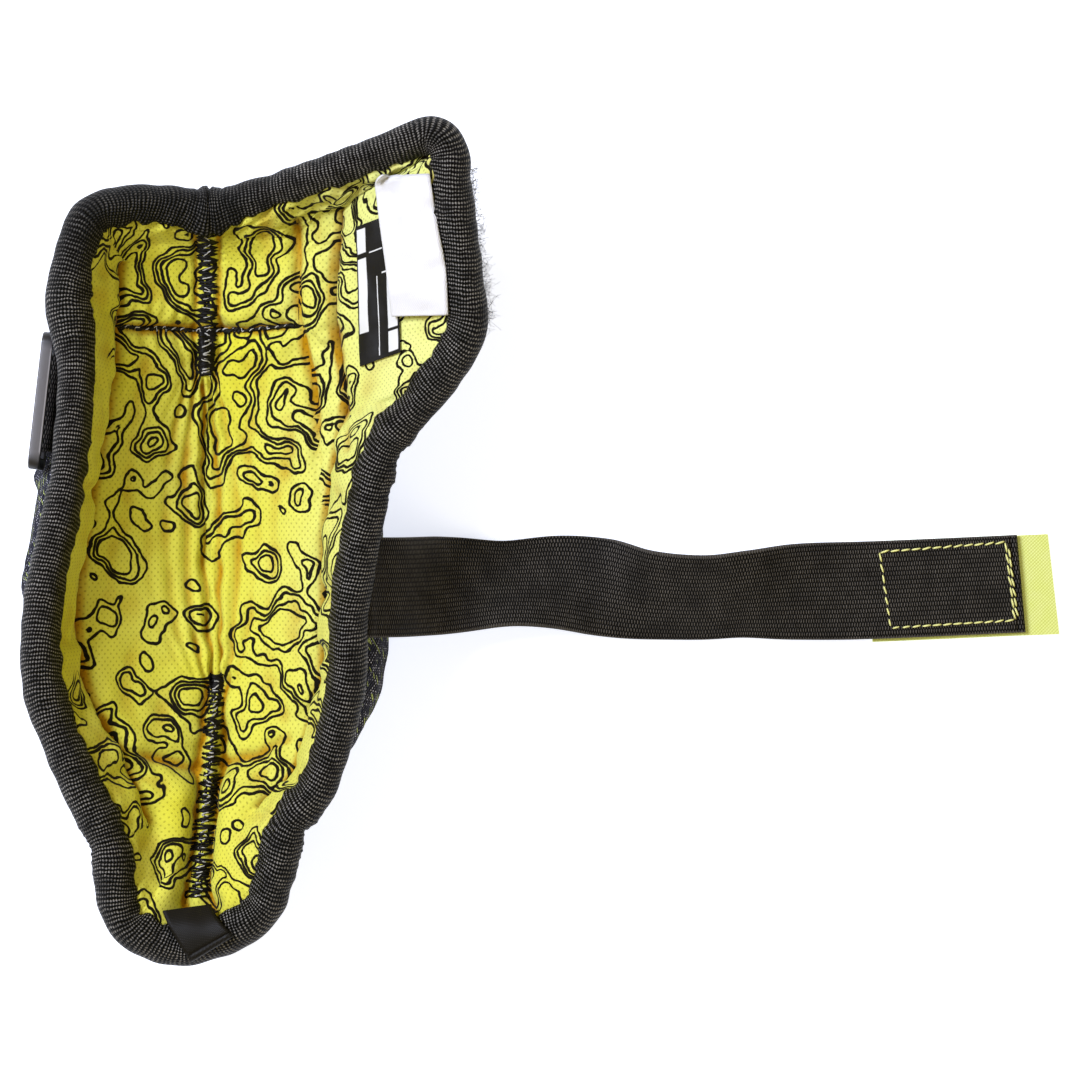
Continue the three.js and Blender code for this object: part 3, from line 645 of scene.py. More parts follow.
def tape_material():
    """Binding tape: ribs across it, tied to each other so that small dark holes stay between them. Its pale
    thread crowns are partly weave pattern and partly painted highlight, and its upper end is darkened by
    painted shade.
    """
    shader = Shader("binding_tape", color(10, 9, 8), 0.5, specular_ior_level=0.1)
    vector, along, across = shader.cloth()
    drift = shader.scaled(shader.noise(vector, 0.003, 2.0, 0.6), 5.5, -2.7)
    aside = shader.less(across, TAPE_MIDDLE)
    squared = shader.scaled(aside, aside, ARCH_RADIUS ** 2)
    arched = shader.scaled(shader.math("SQRT", squared), ARCH_SLOPE, along)
    rib = shader.sway(shader.scaled(arched, math.tau / RIB_PITCH, drift))
    lean = shader.scaled(along, TIE_LEAN, drift)
    tie = shader.sway(shader.scaled(across, math.tau / TIE_PITCH, lean))
    hole = shader.times(shader.less(1.0, rib), shader.less(1.0, shader.times(tie, 0.62)))
    thread = shader.less(1.0, hole)
    worn = shader.noise(vector, 0.0045, 4.0, 0.7)
    # Pale crowns of the threads: partly the weave's pattern, partly painted highlight.
    dots = shader.times(shader.step(thread, 0.66, 1.0), shader.step(tie, 0.25, 0.9, 0.14, 1.0))
    spot = shader.spot()
    # Painted shade: the tape is darker at its upper end, left of the wing, where less light falls.
    painted_shade_upper_end = shader.step(spot[1], 0.056, 0.076, 1.0, 0.42)
    tone = shader.math("MAXIMUM", painted_shade_upper_end, shader.step(spot[0], -0.004, 0.03))
    worn_highlight_dots = shader.times(dots, shader.step(worn, 0.25, 0.72, 0.25, 1.0))
    shader.paint(shader.times(worn_highlight_dots, tone), color(2, 2, 1), color(138, 134, 128))
    shader.bump(thread, 0.00034)
    return shader.material


# Shell cloth: pitch of its twill both ways, size of its flecks and slashes in metres, turn of the slashes
TWILL_PITCH = 0.00118
CROSS_PITCH = 0.00112
FLECK_SIZE = 0.0016
SLASH_SIZE = 0.0007
SLASH_STRETCH = (0.16, 1.0, 1.0)
SLASH_TURN = -0.75


def shell_material():
    """Dark twill with fine pale flecks and thin lime slashes."""
    shader = Shader("shell_cloth", color(24, 25, 34), 0.85, specular_ior_level=0.15)
    vector, along, across = shader.cloth()
    twill = shader.ripple(shader.math("ADD", along, across), TWILL_PITCH)
    cross = shader.ripple(shader.less(along, across), CROSS_PITCH)
    weave = shader.scaled(cross, 0.4, shader.times(twill, 0.6))
    fleck = shader.noise(vector, FLECK_SIZE, 1.0)
    turned = shader.node("VectorRotate", vector, (0, 0, 0), (0, 0, 1), SLASH_TURN).outputs[0]
    slash = shader.noise(shader.vectors("MULTIPLY", turned, SLASH_STRETCH), SLASH_SIZE, 0.0)
    cloth = shader.mix(shader.step(weave, -0.5, 0.8), color(4, 4, 6), color(36, 38, 56))
    dots = shader.times(shader.step(twill, 0.0, 0.8), shader.step(cross, 0.0, 0.8))
    pale = shader.times(shader.step(fleck, 0.44, 0.66), dots)
    flecked = shader.mix(pale, cloth, color(216, 214, 226))
    lime = shader.mix(dots, color(138, 150, 72), color(212, 220, 156))
    shader.paint(shader.step(slash, 0.725, 0.77), flecked, lime)
    shader.bump(weave, 0.00014)
    return shader.material


# Elastic, in metres: pitch of its rows and of the loops in them, and where its selvedge starts and ends
ROW_PITCH = 0.00118
LOOP_PITCH = 0.00068
SELVEDGE = (0.0121, 0.0124)


def elastic_material():
    """Black elastic: upright loops in rows along the band, set half a loop apart from row to row."""
    shader = Shader("elastic", color(12, 11, 10), 0.6, specular_ior_level=0.1)
    vector, along, across = shader.cloth()
    rows = shader.ripple(across, 2 * ROW_PITCH)
    drift = shader.scaled(shader.noise(vector, 0.0022, 2.0, 0.6), 4.0, -2.0)
    offset = shader.scaled(shader.math("SIGN", rows), math.pi / 2, drift)
    loop = shader.sway(shader.scaled(along, math.tau / LOOP_PITCH, offset))
    crown = shader.math("POWER", shader.math("ABSOLUTE", rows), 0.24)
    thread = shader.times(shader.scaled(loop, 0.84, 0.16), crown)
    worn = shader.noise(vector, 0.007, 3.0, 0.6)
    # The loops' crowns are painted pale: partly the knit's pattern, partly painted highlight.
    lit = shader.times(shader.step(thread, 0.46, 1.0), shader.step(worn, 0.2, 0.8, 0.5, 1.0))
    selvedge = shader.step(shader.math("ABSOLUTE", across), *SELVEDGE, 0.0, 0.4)
    shader.paint(shader.math("MAXIMUM", lit, selvedge), color(4, 3, 3), color(98, 93, 86))
    shader.bump(thread, 0.00024)
    return shader.material


def hook_material():
    """Lime hook tape: rows of small hooks on a pale ground."""
    shader = Shader("hook_tape", color(224, 240, 110), 0.5)
    vector, along, across = shader.cloth()
    hooks = shader.times(shader.ripple(along, 0.0009), shader.ripple(across, 0.0009))
    tone = shader.noise(vector, 0.004)
    ground = shader.mix(tone, color(212, 222, 112), color(222, 228, 142))
    hooked = shader.step(hooks, 0.2, 0.9, 0.0, 0.3)
    shader.paint(hooked, ground, color(196, 208, 84))
    shader.bump(hooks, 0.00006)
    return shader.material


def thread_material(name, tint, roughness=0.55, **settings):
    """Thread whose tone changes a little along it."""
    shader = Shader(name, tint, roughness, **settings)
    tone = shader.noise(shader.place(), 0.0006, dimensions="3D")
    shader.paint(tone, [v * 0.6 for v in tint], [min(v * 1.5, 1) for v in tint])
    return shader.material


def plastic_material():
    """Dark scuffed plastic with painted light: painted shade on its bends and other faces, grey on its
    outer face, a pale painted highlight along its edge.
    """
    shader = Shader("ring_plastic", color(82, 80, 82), 0.42)
    scuff = shader.noise(shader.place(), 0.0012, 4.0, 0.6, "3D")
    painted_ring_light = shader.painted_light()
    # Painted light from the ring's values: dark painted shade, grey on the outer face, a pale painted
    # highlight along the edge.
    face = shader.mix(shader.step(painted_ring_light, 0.0, 0.5), color(34, 32, 33), color(88, 85, 86))
    shader.paint(shader.step(painted_ring_light, 0.5, 1.0), face, color(182, 178, 178))
    shader.set("Roughness", shader.step(scuff, 0.3, 0.7, 0.34, 0.52))
    shader.bump(scuff, 0.00004)
    return shader.material


def label_material():
    """White satin."""
    shader = Shader("white_label", color(246, 245, 243), 0.5, sheen_weight=0.3)
    vector, along, across = shader.cloth()
    satin = shader.times(shader.ripple(along, 0.0006), shader.ripple(across, 0.0012))
    shader.bump(satin, 0.00003)
    tone = shader.noise(vector, 0.012)
    shader.paint(tone, color(212, 211, 214), color(228, 228, 230))
    return shader.material


def patch_material():
    """Black film with blank white fields and thin rules. Along runs up the patch, across to the right."""
    shader = Shader("printed_patch", color(18, 17, 17), 0.5, specular_ior_level=0.3)
    vector, along, across = shader.cloth()

    def field(left, right, low, high):
        inside = 1.0
        edges = [(across, left, 1), (across, right, -1), (along, low, 1), (along, high, -1)]
        for value, edge, sense in edges:
            soft = 0.00008 * sense
            inside = shader.times(inside, shader.step(value, edge * MM - soft, edge * MM + soft))
        return inside

    fields = 0.0
    for box in PATCH_FIELDS:
        fields = shader.math("MAXIMUM", fields, field(*box))
    shader.paint(fields, color(18, 17, 17), color(216, 216, 214))
    film = shader.noise(vector, 0.0012)
    shader.bump(film, 0.00004)
    return shader.material


def pile_material():
    """Black pile."""
    shader = Shader("pile", color(26, 25, 25), 0.9, sheen_weight=0.4)
    tone = shader.noise(shader.place(), 0.0014, 3.0, 0.7, "3D")
    shader.paint(tone, color(10, 10, 10), color(46, 45, 45))
    shader.bump(tone, 0.0006)
    return shader.material


LINING = lining_material("lining_cloth")
WALL_LINING = lining_material("lining_wall", plain=(-0.470, -0.392))
BINDING = tape_material()
ELASTIC = elastic_material()
SHELL = shell_material()
HOOKS = hook_material()
BLACK_THREAD = thread_material("black_thread", color(17, 15, 13), 0.5, specular_ior_level=0.15)
# Brown thread: partly the stitching's own colour, partly a painted seam shadow.
BROWN_THREAD_AND_SHADE = thread_material("brown_thread_and_shade", color(112, 74, 8))
FIBRE = thread_material("pile_fibre", color(112, 110, 108))
LIME_THREAD = thread_material("lime_thread", color(226, 226, 140))
PLASTIC = plastic_material()
# Pale thread that stands in for glints on the black stitching: painted highlight.
PAINTED_GLINT_THREAD = thread_material("painted_glint_thread", color(176, 174, 168), 0.4)
WHITE = label_material()
FILM = patch_material()
PILE = pile_material()
RIBBON = ribbon_material()


# Lining: profiles from the rim over the fold line to the floor line

FLOOR_SHARES = [0.78, 0.56, 0.34, 0.14, 0.02]
PROFILE_STEPS = 9
SEAM_SLIT = 0.14
SKIRT = 1.4
SEWN_REACH = 1.7
PANEL_TUCK = 0.4
FOLD_ROW = 3 * PROFILE_STEPS

# How far the print is moved beyond the cross seam and beside the side crease, in millimetres
CUFF_PRINT = np.array([170.0, 40.0])
CORNER_PRINT = np.array([330.0, 15.0])
floor_points = floor_at(rim["floor_y"])


def lining_profiles():
    """Grid of the plain lining: stations round the rim, rows from the rim to the floor line."""
    grip = wall(HALF_RIM, GRIP)
    control = [wall(HALF_RIM, -RIM_TOP), grip, lerp(grip, fold, 0.5), fold]
    for share in FLOOR_SHARES:
        point = lerp(floor_points, fold, share)
        point[:, 2] = lerp(floor_points[:, 2], fold[:, 2], share ** FLOOR_CURVE)
        control.append(point)
    return along_open(control, PROFILE_STEPS).transpose(1, 0, 2)


def grid_normals(grid):
    """Normals of a grid of stations and rows that closes round the rim, pointing into the hollow."""
    along = np.roll(grid, -1, axis=0) - np.roll(grid, 1, axis=0)
    return unit(np.cross(np.gradient(grid, axis=1), along))


def groove(away, depth, width, ridge=0.0, beside=0.0, spread=1.0):
    """Relief of a sewn line at a distance from it: a groove with a ridge on both sides."""
    return ridge * bell(away - beside, spread) - depth * bell(away, width)


def lining_relief(grid):
    """How far the lining stands out of its plain form: flutes, gathers, seams and darts."""
    x, y = grid[..., 0], grid[..., 1]
    rows = np.arange(grid.shape[1])[None, :]
    total = 0.30 * waves(x, y * 0.5, 10, 3) + 0.14 * waves(x, y, 5, 4)

    # Flutes that run along the hollow between the two darts
    top, bottom = TOP_DART[-1], LOW_DART[0]
    t = (y - bottom[1]) / (top[1] - bottom[1])
    middle = lerp(bottom[0], top[0], np.clip(t, 0, 1))
    spread = 0.34 + 0.66 * np.sin(np.clip(t, 0, 1) * math.pi) ** 0.8
    flute = (x - middle) / spread + 0.8 * waves(x * 0.25, y, 30, 8)
    ends = smooth(-0.05, 0.05, t) * smooth(1.05, 0.95, t)
    strength = lerp(1.0, 0.62, np.sin(np.clip(t, 0, 1) * math.pi))
    total += 1.3 * strength * np.cos(flute * math.tau / 5.0) * bell(flute, 13) * ends

    # Cross seam and its gathers
    away, _, place = line_offset(x, y, CROSS_SEAM)
    inside = smooth(0.0, 0.02, place) * smooth(1.0, 0.98, place)
    gathers = np.cos(x * math.tau / 3.9 + 1.6 * waves(x, y, 14, 9)) * bell(away, 8) * smooth(0.3, 2.5, away)
    total += inside * (0.42 * gathers + groove(away, 2.0, 1.3, 0.9, 4.5, 3.5))

    # Darts, and the tongue's padding on both sides of the lower one
    away = line_offset(x, y, TOP_DART)[0]
    total += 0.9 * bell(away, 2.0) - 1.2 * bell(away - 3.1, 0.9)
    away, _, place = line_offset(x, y, LOW_DART)
    wide = lerp(1.9, 3.0, place)
    tube = np.sqrt(np.maximum(1 - (away / wide) ** 2, 0))
    total += 2.5 * tube * smooth(0.0, 0.08, place) - 1.7 * bell(away - wide - 0.6, 1.5)
    tongue = smooth(-58, -70, y) * smooth(-99, -91, y)
    total += 3.6 * tongue * bell(away - 8.5, 5.0)

    # Creases
    away, _, place = line_offset(x, y, TONGUE_CREASE)
    inside = smooth(0, 0.1, place) * smooth(1, 0.9, place)
    total += groove(away, 1.1, 0.9, 0.5, 3.0, 2.0) * inside
    away, _, place = line_offset(x, y, SIDE_CREASE)
    total += groove(away, 1.5, 0.75, 0.4, 2.5, 2.0) * smooth(1.0, 0.8, place)
    away, _, place = line_offset(x, y, WALL_CREASE)
    total += groove(away, 0.9, 0.7) * smooth(0.0, 0.1, place)

    # Sewn fold lines of the side panels
    walked = walked_across(grid)
    from_fold = np.abs(walked - walked[:, FOLD_ROW:FOLD_ROW + 1])
    pulled = 0.25 * rim_waves(4.5, 5)[:, None] * bell(from_fold - 2.5, 2.0)
    total += panel_stations(1)[:, None] * (groove(from_fold, 1.5, 0.8, 0.5, 4.0, 2.5) + pulled)

    # Flat under the binding and calm at the floor line
    under_binding = smooth(0, PROFILE_STEPS, rows)
    settle = smooth(grid.shape[1] - 1, grid.shape[1] - 4, rows)
    return total * under_binding * lerp(0.75, 1.0, settle)


CLOTH_FRAMES = 20
CLOTH_SCALE = 10 * MM
CLOTH_PRESSURE = 4.0


def pressed_cloth(base, held, around, rows, slack, limit, flip=False):
    """Movement of a grid of slack cloth that is pressed out between the places where it is held.

    The cloth is simulated on every few points of the grid, without weight and at ten times its size.
    """
    scene = bpy.context.scene
    coarse = base[::around, ::rows]
    pins = held[::around, ::rows].ravel()
    mesh = bpy.data.meshes.new("slack_cloth")
    faces = grid_faces(*coarse.shape[:2], close_rows=True, flip=flip)
    mesh.from_pydata((coarse.reshape(-1, 3) * CLOTH_SCALE).tolist(), [], faces.tolist())
    made = bpy.data.objects.new("slack_cloth", mesh)
    scene.collection.objects.link(made)
    group = made.vertex_groups.new(name="held")
    group.add(np.flatnonzero(pins).tolist(), 1.0, "REPLACE")
    modifier = made.modifiers.new("Cloth", "CLOTH")
    modifier.point_cache.frame_end = CLOTH_FRAMES
    modifier.collision_settings.use_collision = False
    cloth = modifier.settings
    cloth.quality = 6
    cloth.vertex_group_mass = "held"
    cloth.effector_weights.gravity = 0
    cloth.use_pressure = True
    cloth.uniform_pressure_force = CLOTH_PRESSURE
    cloth.shrink_min = -slack
    cloth.bending_stiffness = 0.05
    for step in range(CLOTH_FRAMES):
        scene.frame_set(step + 1)
    shown = made.evaluated_get(bpy.context.evaluated_depsgraph_get())
    points = np.zeros(coarse.size)
    shown.data.vertices.foreach_get("co", points)
    scene.frame_set(1)
    bpy.data.objects.remove(made)
    bpy.data.meshes.remove(mesh)
    moved = points.reshape(coarse.shape) / CLOTH_SCALE - coarse
    size = np.linalg.norm(moved, axis=2, keepdims=True)
    moved *= limit * np.tanh(size / limit) / np.maximum(size, 1e-9)
    fine = along_closed(moved.reshape(len(moved), -1), around).reshape(len(base), -1, 3)
    return along_open(fine.transpose(1, 0, 2), rows).transpose(1, 0, 2)


def lining_held(grid):
    """Places of the lining that are sewn down: rim, folds, seams, darts and floor line."""
    held = np.zeros(grid.shape[:2], bool)
    held[:, :PROFILE_STEPS] = True
    held[:, -1] = True
    held[panel_stations(1), FOLD_ROW] = True
    for line in (CROSS_SEAM, TOP_DART, LOW_DART, SIDE_CREASE, TONGUE_CREASE):
        held |= line_offset(grid[..., 0], grid[..., 1], line)[0] < SEWN_REACH
    return held


def blurred(values, reach):
    """Values of the lining grid averaged over neighbours, round the rim and down the rows."""
    count = 2 * reach + 1
    around = sum(np.roll(values, k - reach, axis=0) for k in range(count)) / count
    padded = np.pad(around, ((0, 0), (reach, reach)), mode="edge")
    return sum(padded[:, k:k + values.shape[1]] for k in range(count)) / count


def unrolled(grid):
    """Place on the flat cloth of each point of the lining, measured up the slope from the floor line."""
    foot = grid[:, -1:, :2]
    climb = walked_across(grid[:, ::-1])[:, ::-1]
    return foot + unit(grid[..., :2] - foot) * climb[..., None]


profiles = lining_profiles()
flat_cloth = unrolled(profiles)
relief = lining_relief(profiles)
# Painted shade for the creases: how far each point lies below its blurred surroundings.
painted_light = np.clip((blurred(relief, 5) - blurred(relief, 1)) / 0.9, 0, 1)
slack = pressed_cloth(profiles, lining_held(profiles), 4, 3, 0.05, 1.4)
profiles = profiles + grid_normals(profiles) * relief[..., None] + slack
profile_normals = grid_normals(profiles)


def floor_strip():
    """Triangles that close the floor line between its two sides, from the upper arm end downwards."""
    foot = profiles[:, -1]
    first = int(np.argmax(rim["floor_y"]))
    last = int(np.argmin(rim["floor_y"]))
    right = [k % STATIONS for k in range(first, last + 1)]
    left = [k % STATIONS for k in range(first, last - STATIONS - 1, -1)]
    faces = []
    i = k = 0
    while i + 1 < len(right) or k + 1 < len(left):
        more_right = i + 1 < len(right)
        more_left = k + 1 < len(left)
        step_right = np.linalg.norm(foot[right[min(i + 1, len(right) - 1)]] - foot[left[k]])
        step_left = np.linalg.norm(foot[right[i]] - foot[left[min(k + 1, len(left) - 1)]])
        if more_right and (not more_left or step_right <= step_left):
            faces.append((right[i], left[k], right[i + 1]))
            i += 1
        else:
            faces.append((right[i], left[k], left[k + 1]))
            k += 1
    return [face for face in faces if len(set(face)) == 3]


def lining_floor():
    """Floor of the hollow with the turned-up ends; its print is cut at the seams."""
    rows = profiles.shape[1]
    grid = profiles.copy()
    sewn = panel_stations()
    step = unit(profiles[:, FOLD_ROW + 1] - profiles[:, FOLD_ROW])
    grid[sewn, FOLD_ROW] += step[sewn] * SEAM_SLIT
    skirt = grid[:, FOLD_ROW] - profile_normals[:, FOLD_ROW] * SKIRT
    points = np.concatenate([grid.reshape(-1, 3), skirt])
    top = STATIONS * rows
    faces = []
    for i in range(STATIONS):
        here, after = i * rows, (i + 1) % STATIONS * rows
        first = FOLD_ROW if sewn[i] else 0
        faces += [(here + k, here + k + 1, after + k + 1, after + k) for k in range(first, rows - 1)]
        if sewn[i]:
            faces.append((top + i, here + FOLD_ROW, after + FOLD_ROW, top + after // rows))
    faces += [tuple(i * rows + rows - 1 for i in face) for face in floor_strip()]
    x, y, _ = np.transpose([points[list(face)].mean(axis=0) for face in faces])
    side = line_offset(x, y, CROSS_SEAM + [[60, 52.2]])[1]
    crease_x, crease_y = np.transpose(SIDE_CREASE[::-1])
    beside = (x > np.interp(y, crease_y, crease_x)) & (y > SIDE_CREASE[-1][1])
    above = (side > 0) & ~beside
    shift = above[:, None] * CUFF_PRINT + beside[:, None] * CORNER_PRINT
    uv = np.concatenate([flat_cloth.reshape(-1, 2), flat_cloth[:, FOLD_ROW]])
    # Painted shade per point, full on the skirt that shows in the seam slits.
    shade = np.concatenate([painted_light.ravel(), np.ones(STATIONS)])
    made = piece("lining_floor", points, faces, LINING, uv=uv, shift=shift, painted_light=shade)
    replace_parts(made, "liner_center", "liner_cuff")
    return made


def lining_side(name, node, span, shift, material):
    """Lining of one wall between two rows of the rim; shift is where its print starts."""
    picks = np.arange(span[0] * STEPS, span[1] * STEPS + 1) % STATIONS
    grid = profiles[picks, :FOLD_ROW + 1].copy()
    normals = profile_normals[picks, :FOLD_ROW + 1]
    grid[:, -1] -= unit(grid[:, -1] - grid[:, -2]) * SEAM_SLIT
    skirt = grid[:, -1:] - normals[:, -1:] * SKIRT
    grid = np.concatenate([grid, skirt], axis=1)
    first = grid[:1] - unit(np.diff(grid[:2], axis=0)) * PANEL_TUCK - normals[:1, :1] * SKIRT
    last = grid[-1:] + unit(np.diff(grid[-2:], axis=0)) * PANEL_TUCK - normals[-1:, :1] * SKIRT
    grid = np.concatenate([first, grid, last])
    along = lengths(grid[:, FOLD_ROW // 2])[:, None]
    down_wall = walked_across(grid)
    across = down_wall - down_wall[:, FOLD_ROW:FOLD_ROW + 1]
    uv = pairs(across + shift, along - shift)
    # Painted shade per point; the skirt and the tucked ends take their neighbours' values.
    shade = np.pad(painted_light[picks, :FOLD_ROW + 1], ((1, 1), (0, 1)), mode="edge")
    faces = grid_faces(*grid.shape[:2], flip=True)
    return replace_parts(piece(name, grid, faces, material, uv=uv, painted_light=shade), node)


floor_piece = lining_floor()
left_piece = lining_side("lining_left", "liner_left", LEFT_PANEL, 520, WALL_LINING)
right_piece = lining_side("lining_right", "liner_right", RIGHT_PANEL, 700, LINING)


def tree_of(mesh):
    """Tree in which rays are cast at a mesh."""
    return BVHTree.FromPolygons([v.co for v in mesh.vertices], [list(p.vertices) for p in mesh.polygons])


lining_trees = [tree_of(made.data) for made in (floor_piece, left_piece, right_piece)]


def on_lining(x, y, lift=0.0):
    """Point of the lining under a place of the plan, raised along its normal."""
    best = None
    for tree in lining_trees:
        place, facing, _, _ = tree.ray_cast(Vector((x * MM, y * MM, 1.0)), Vector((0, 0, -1)))
        if place is not None and (best is None or place.z > best[0].z):
            best = (place, facing if facing.z > 0 else -facing)
    place, facing = best
    return np.array(place) / MM + np.array(facing) * lift


# Edge binding

def edge_binding():
    """Tape roll round the rim: its section swells, puckers and pleats from station to station."""
    turns = np.radians(np.linspace(0, 180, 25))
    arc = np.stack([ROLL * np.cos(turns), -ROLL * np.sin(turns)], -1)
    inner = [[CHANNEL, LIP], [ROLL - 0.55, LIP + 0.2], [ROLL - 0.15, LIP - 0.5], [ROLL, LIP * 0.4]]
    outer = np.array(inner[::-1]) * [-1, 1]
    rim_bed = [[-CHANNEL, -RIM_TOP - GAP], [CHANNEL, -RIM_TOP - GAP]]
    section = np.concatenate([inner, arc, outer, rim_bed])
    skin = len(section) - len(rim_bed)
    pleats = np.zeros(STATIONS)
    dent = 0.18 * rim_waves(16, 21) + 0.12 * rim_waves(6, 22)
    for row, depth, width in PUCKERS:
        away = rim_distance(rim_place(row))
        pleats += depth * bell(away, 3.2 * width)
        dent += -0.45 * depth * bell(away, width) + 0.45 * depth * bell(away - 2.0 * width, width)
    away = rim_distance(rim_place(NOTCH_ROW))
    dent += 2.2 * bell(away, 5.0) - 0.9 * bell(away, 0.8) - 0.5 * bell(away - 4.6, 0.7)
    dent += np.interp(np.arange(STATIONS) / STEPS, *np.transpose(ROLL_SWELL))
    pleats += 0.5 * bell(away, 4.0)
    pleat = 0.34 * pleats * np.cos(rim_walk * math.tau / 2.5 + 1.5 * rim_waves(9, 23))
    lip = 0.42 * rim_waves(5, 24) + 0.2 * rim_waves(2.2, 25)
    grid = np.zeros((STATIONS, len(section), 3))
    for k, (across, depth) in enumerate(section):
        swell = 1 + (dent + pleat * (0.5 + 0.5 * math.cos(k * 1.7))) / ROLL if k < skin else 1
        sag = lip * smooth(0.5, LIP, depth) if k < skin else 0
        grid[:, k] = wall(across * swell, depth * swell + sag)
    made = rim_skin("edge_roll", grid, lengths(section), BINDING, "binding_tape", close_columns=True)
    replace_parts(made, "edge_binding")


edge_binding()


# Outer shell

def outer_shell():
    """Padded wall from the rim over its belly to the flat it rests on."""
    edge = wall(-HALF_RIM, -RIM_TOP)
    grip = wall(-HALF_RIM, GRIP)
    belly = roll - inward * rim["bulge"][:, None]
    belly[:, 2] = rim["belly"]
    shoulder = belly.copy()
    shoulder[:, 2] = lerp(belly[:, 2], grip[:, 2], 0.75)
    rows = [edge]
    for t in np.linspace(0, 1, 13):
        rows.append(grip * (1 - t) ** 2 + shoulder * 2 * t * (1 - t) + belly * t * t)
    middle = floor_at(rim["floor_y"] * REST_SPREAD)
    middle[:, 2] = 0
    flat_roll = roll * [1, 1, 0]
    rest = middle + unit(flat_roll - middle) * REST_RADIUS
    power = (2 / rim["fullness"])[:, None]
    for t in np.linspace(0, 1, 25)[1:]:
        angle = t * math.pi / 2
        point = lerp(rest, belly, max(math.cos(angle), 0) ** power)
        point[:, 2] = belly[:, 2] * (1 - np.sin(angle) ** power[:, 0])
        rows.append(point)
    for t in (0.3, 0.65, 1.0):
        rows.append(lerp(rest, middle, t))
    grid = np.stack(rows, axis=1)
    held = (grid[..., 2] < 1) | (np.arange(grid.shape[1])[None, :] < 3)
    grid = grid + pressed_cloth(grid, held, 4, 2, 0.03, 0.8, flip=True)
    normals = -grid_normals(grid)
    x, y, z = grid[..., 0], grid[..., 1], grid[..., 2]
    lumps = 0.35 * waves(x + z, y - z, 17, 31) + 0.18 * waves(x - z, y + z, 7, 32)
    free = smooth(0.5, 6, z) * smooth(1, 5, np.arange(grid.shape[1])[None, :])

    # Swelling of the left wall that shows past the rim next to the ring
    shoulder_span = smooth(8.0, 13.0, y) * smooth(22.0, 20.2, y)
    swell = lerp(4.4, 6.2, smooth(13.0, 17.0, y)) * shoulder_span
    lumps = lumps + swell * bell(z - 14.0, 4.0) * (x < -25)

    grid = grid + normals * (lumps * free)[..., None]
    grid[..., 2] = np.maximum(grid[..., 2], 0.0)
    made = rim_skin("shell", grid, walked_across(grid), SHELL, "shell_cloth")
    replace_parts(made, "outer_shell")
    return grid, normals


shell_grid, shell_normals = outer_shell()


# Darts and seams of the lining

def line_at(line, share):
    """Place on a line of the plan at a share of its length."""
    points = np.array(line, float)
    walked = lengths(points)
    return np.array([np.interp(share, walked / walked[-1], column) for column in points.T])


def zigzag(threads, line, half_start, half_end, pitch, seed, radius, lift=0.25):
    """One thread that runs to and fro across a line."""
    rng = np.random.default_rng(seed)
    count = int(lengths(np.array(line, float))[-1] / pitch * 2)
    path = []
    for k in range(count):
        share = (k + rng.uniform(0.2, 0.8)) / count
        half = lerp(half_start, half_end, share) * rng.uniform(0.86, 1.1)
        middle = line_at(line, share)
        path.append([middle[0] + half * (-1) ** k, middle[1]])
    path = np.array(path)
    points = []
    for a, b in zip(path, path[1:]):
        for t in np.linspace(0, 1, 7)[:-1]:
            raised = lift if 0.1 < t < 0.9 else -0.05
            points.append(on_lining(*lerp(a, b, t), raised))
    threads.tube(points, radius * (1 + 0.15 * rng.uniform(-1, 1, len(points))))


def rungs(threads, line, half_start, half_end, pitch, seed, radius, lift):
    """Separate threads across a line."""
    rng = np.random.default_rng(seed)
    count = int(lengths(np.array(line, float))[-1] / pitch)
    for k in range(count):
        share = (k + rng.uniform(0.1, 0.9)) / count
        middle = line_at(line, share)
        half = lerp(half_start, half_end, share) * rng.uniform(0.6, 1.05)
        lean = rng.uniform(-0.6, 0.9)
        spots = [on_lining(middle[0] + half * s, middle[1] + lean * s, lift if abs(s) < 0.9 else 0.0)
                 for s in np.linspace(-1, 1, 9)]
        threads.tube(spots, radius * rng.uniform(0.8, 1.2))


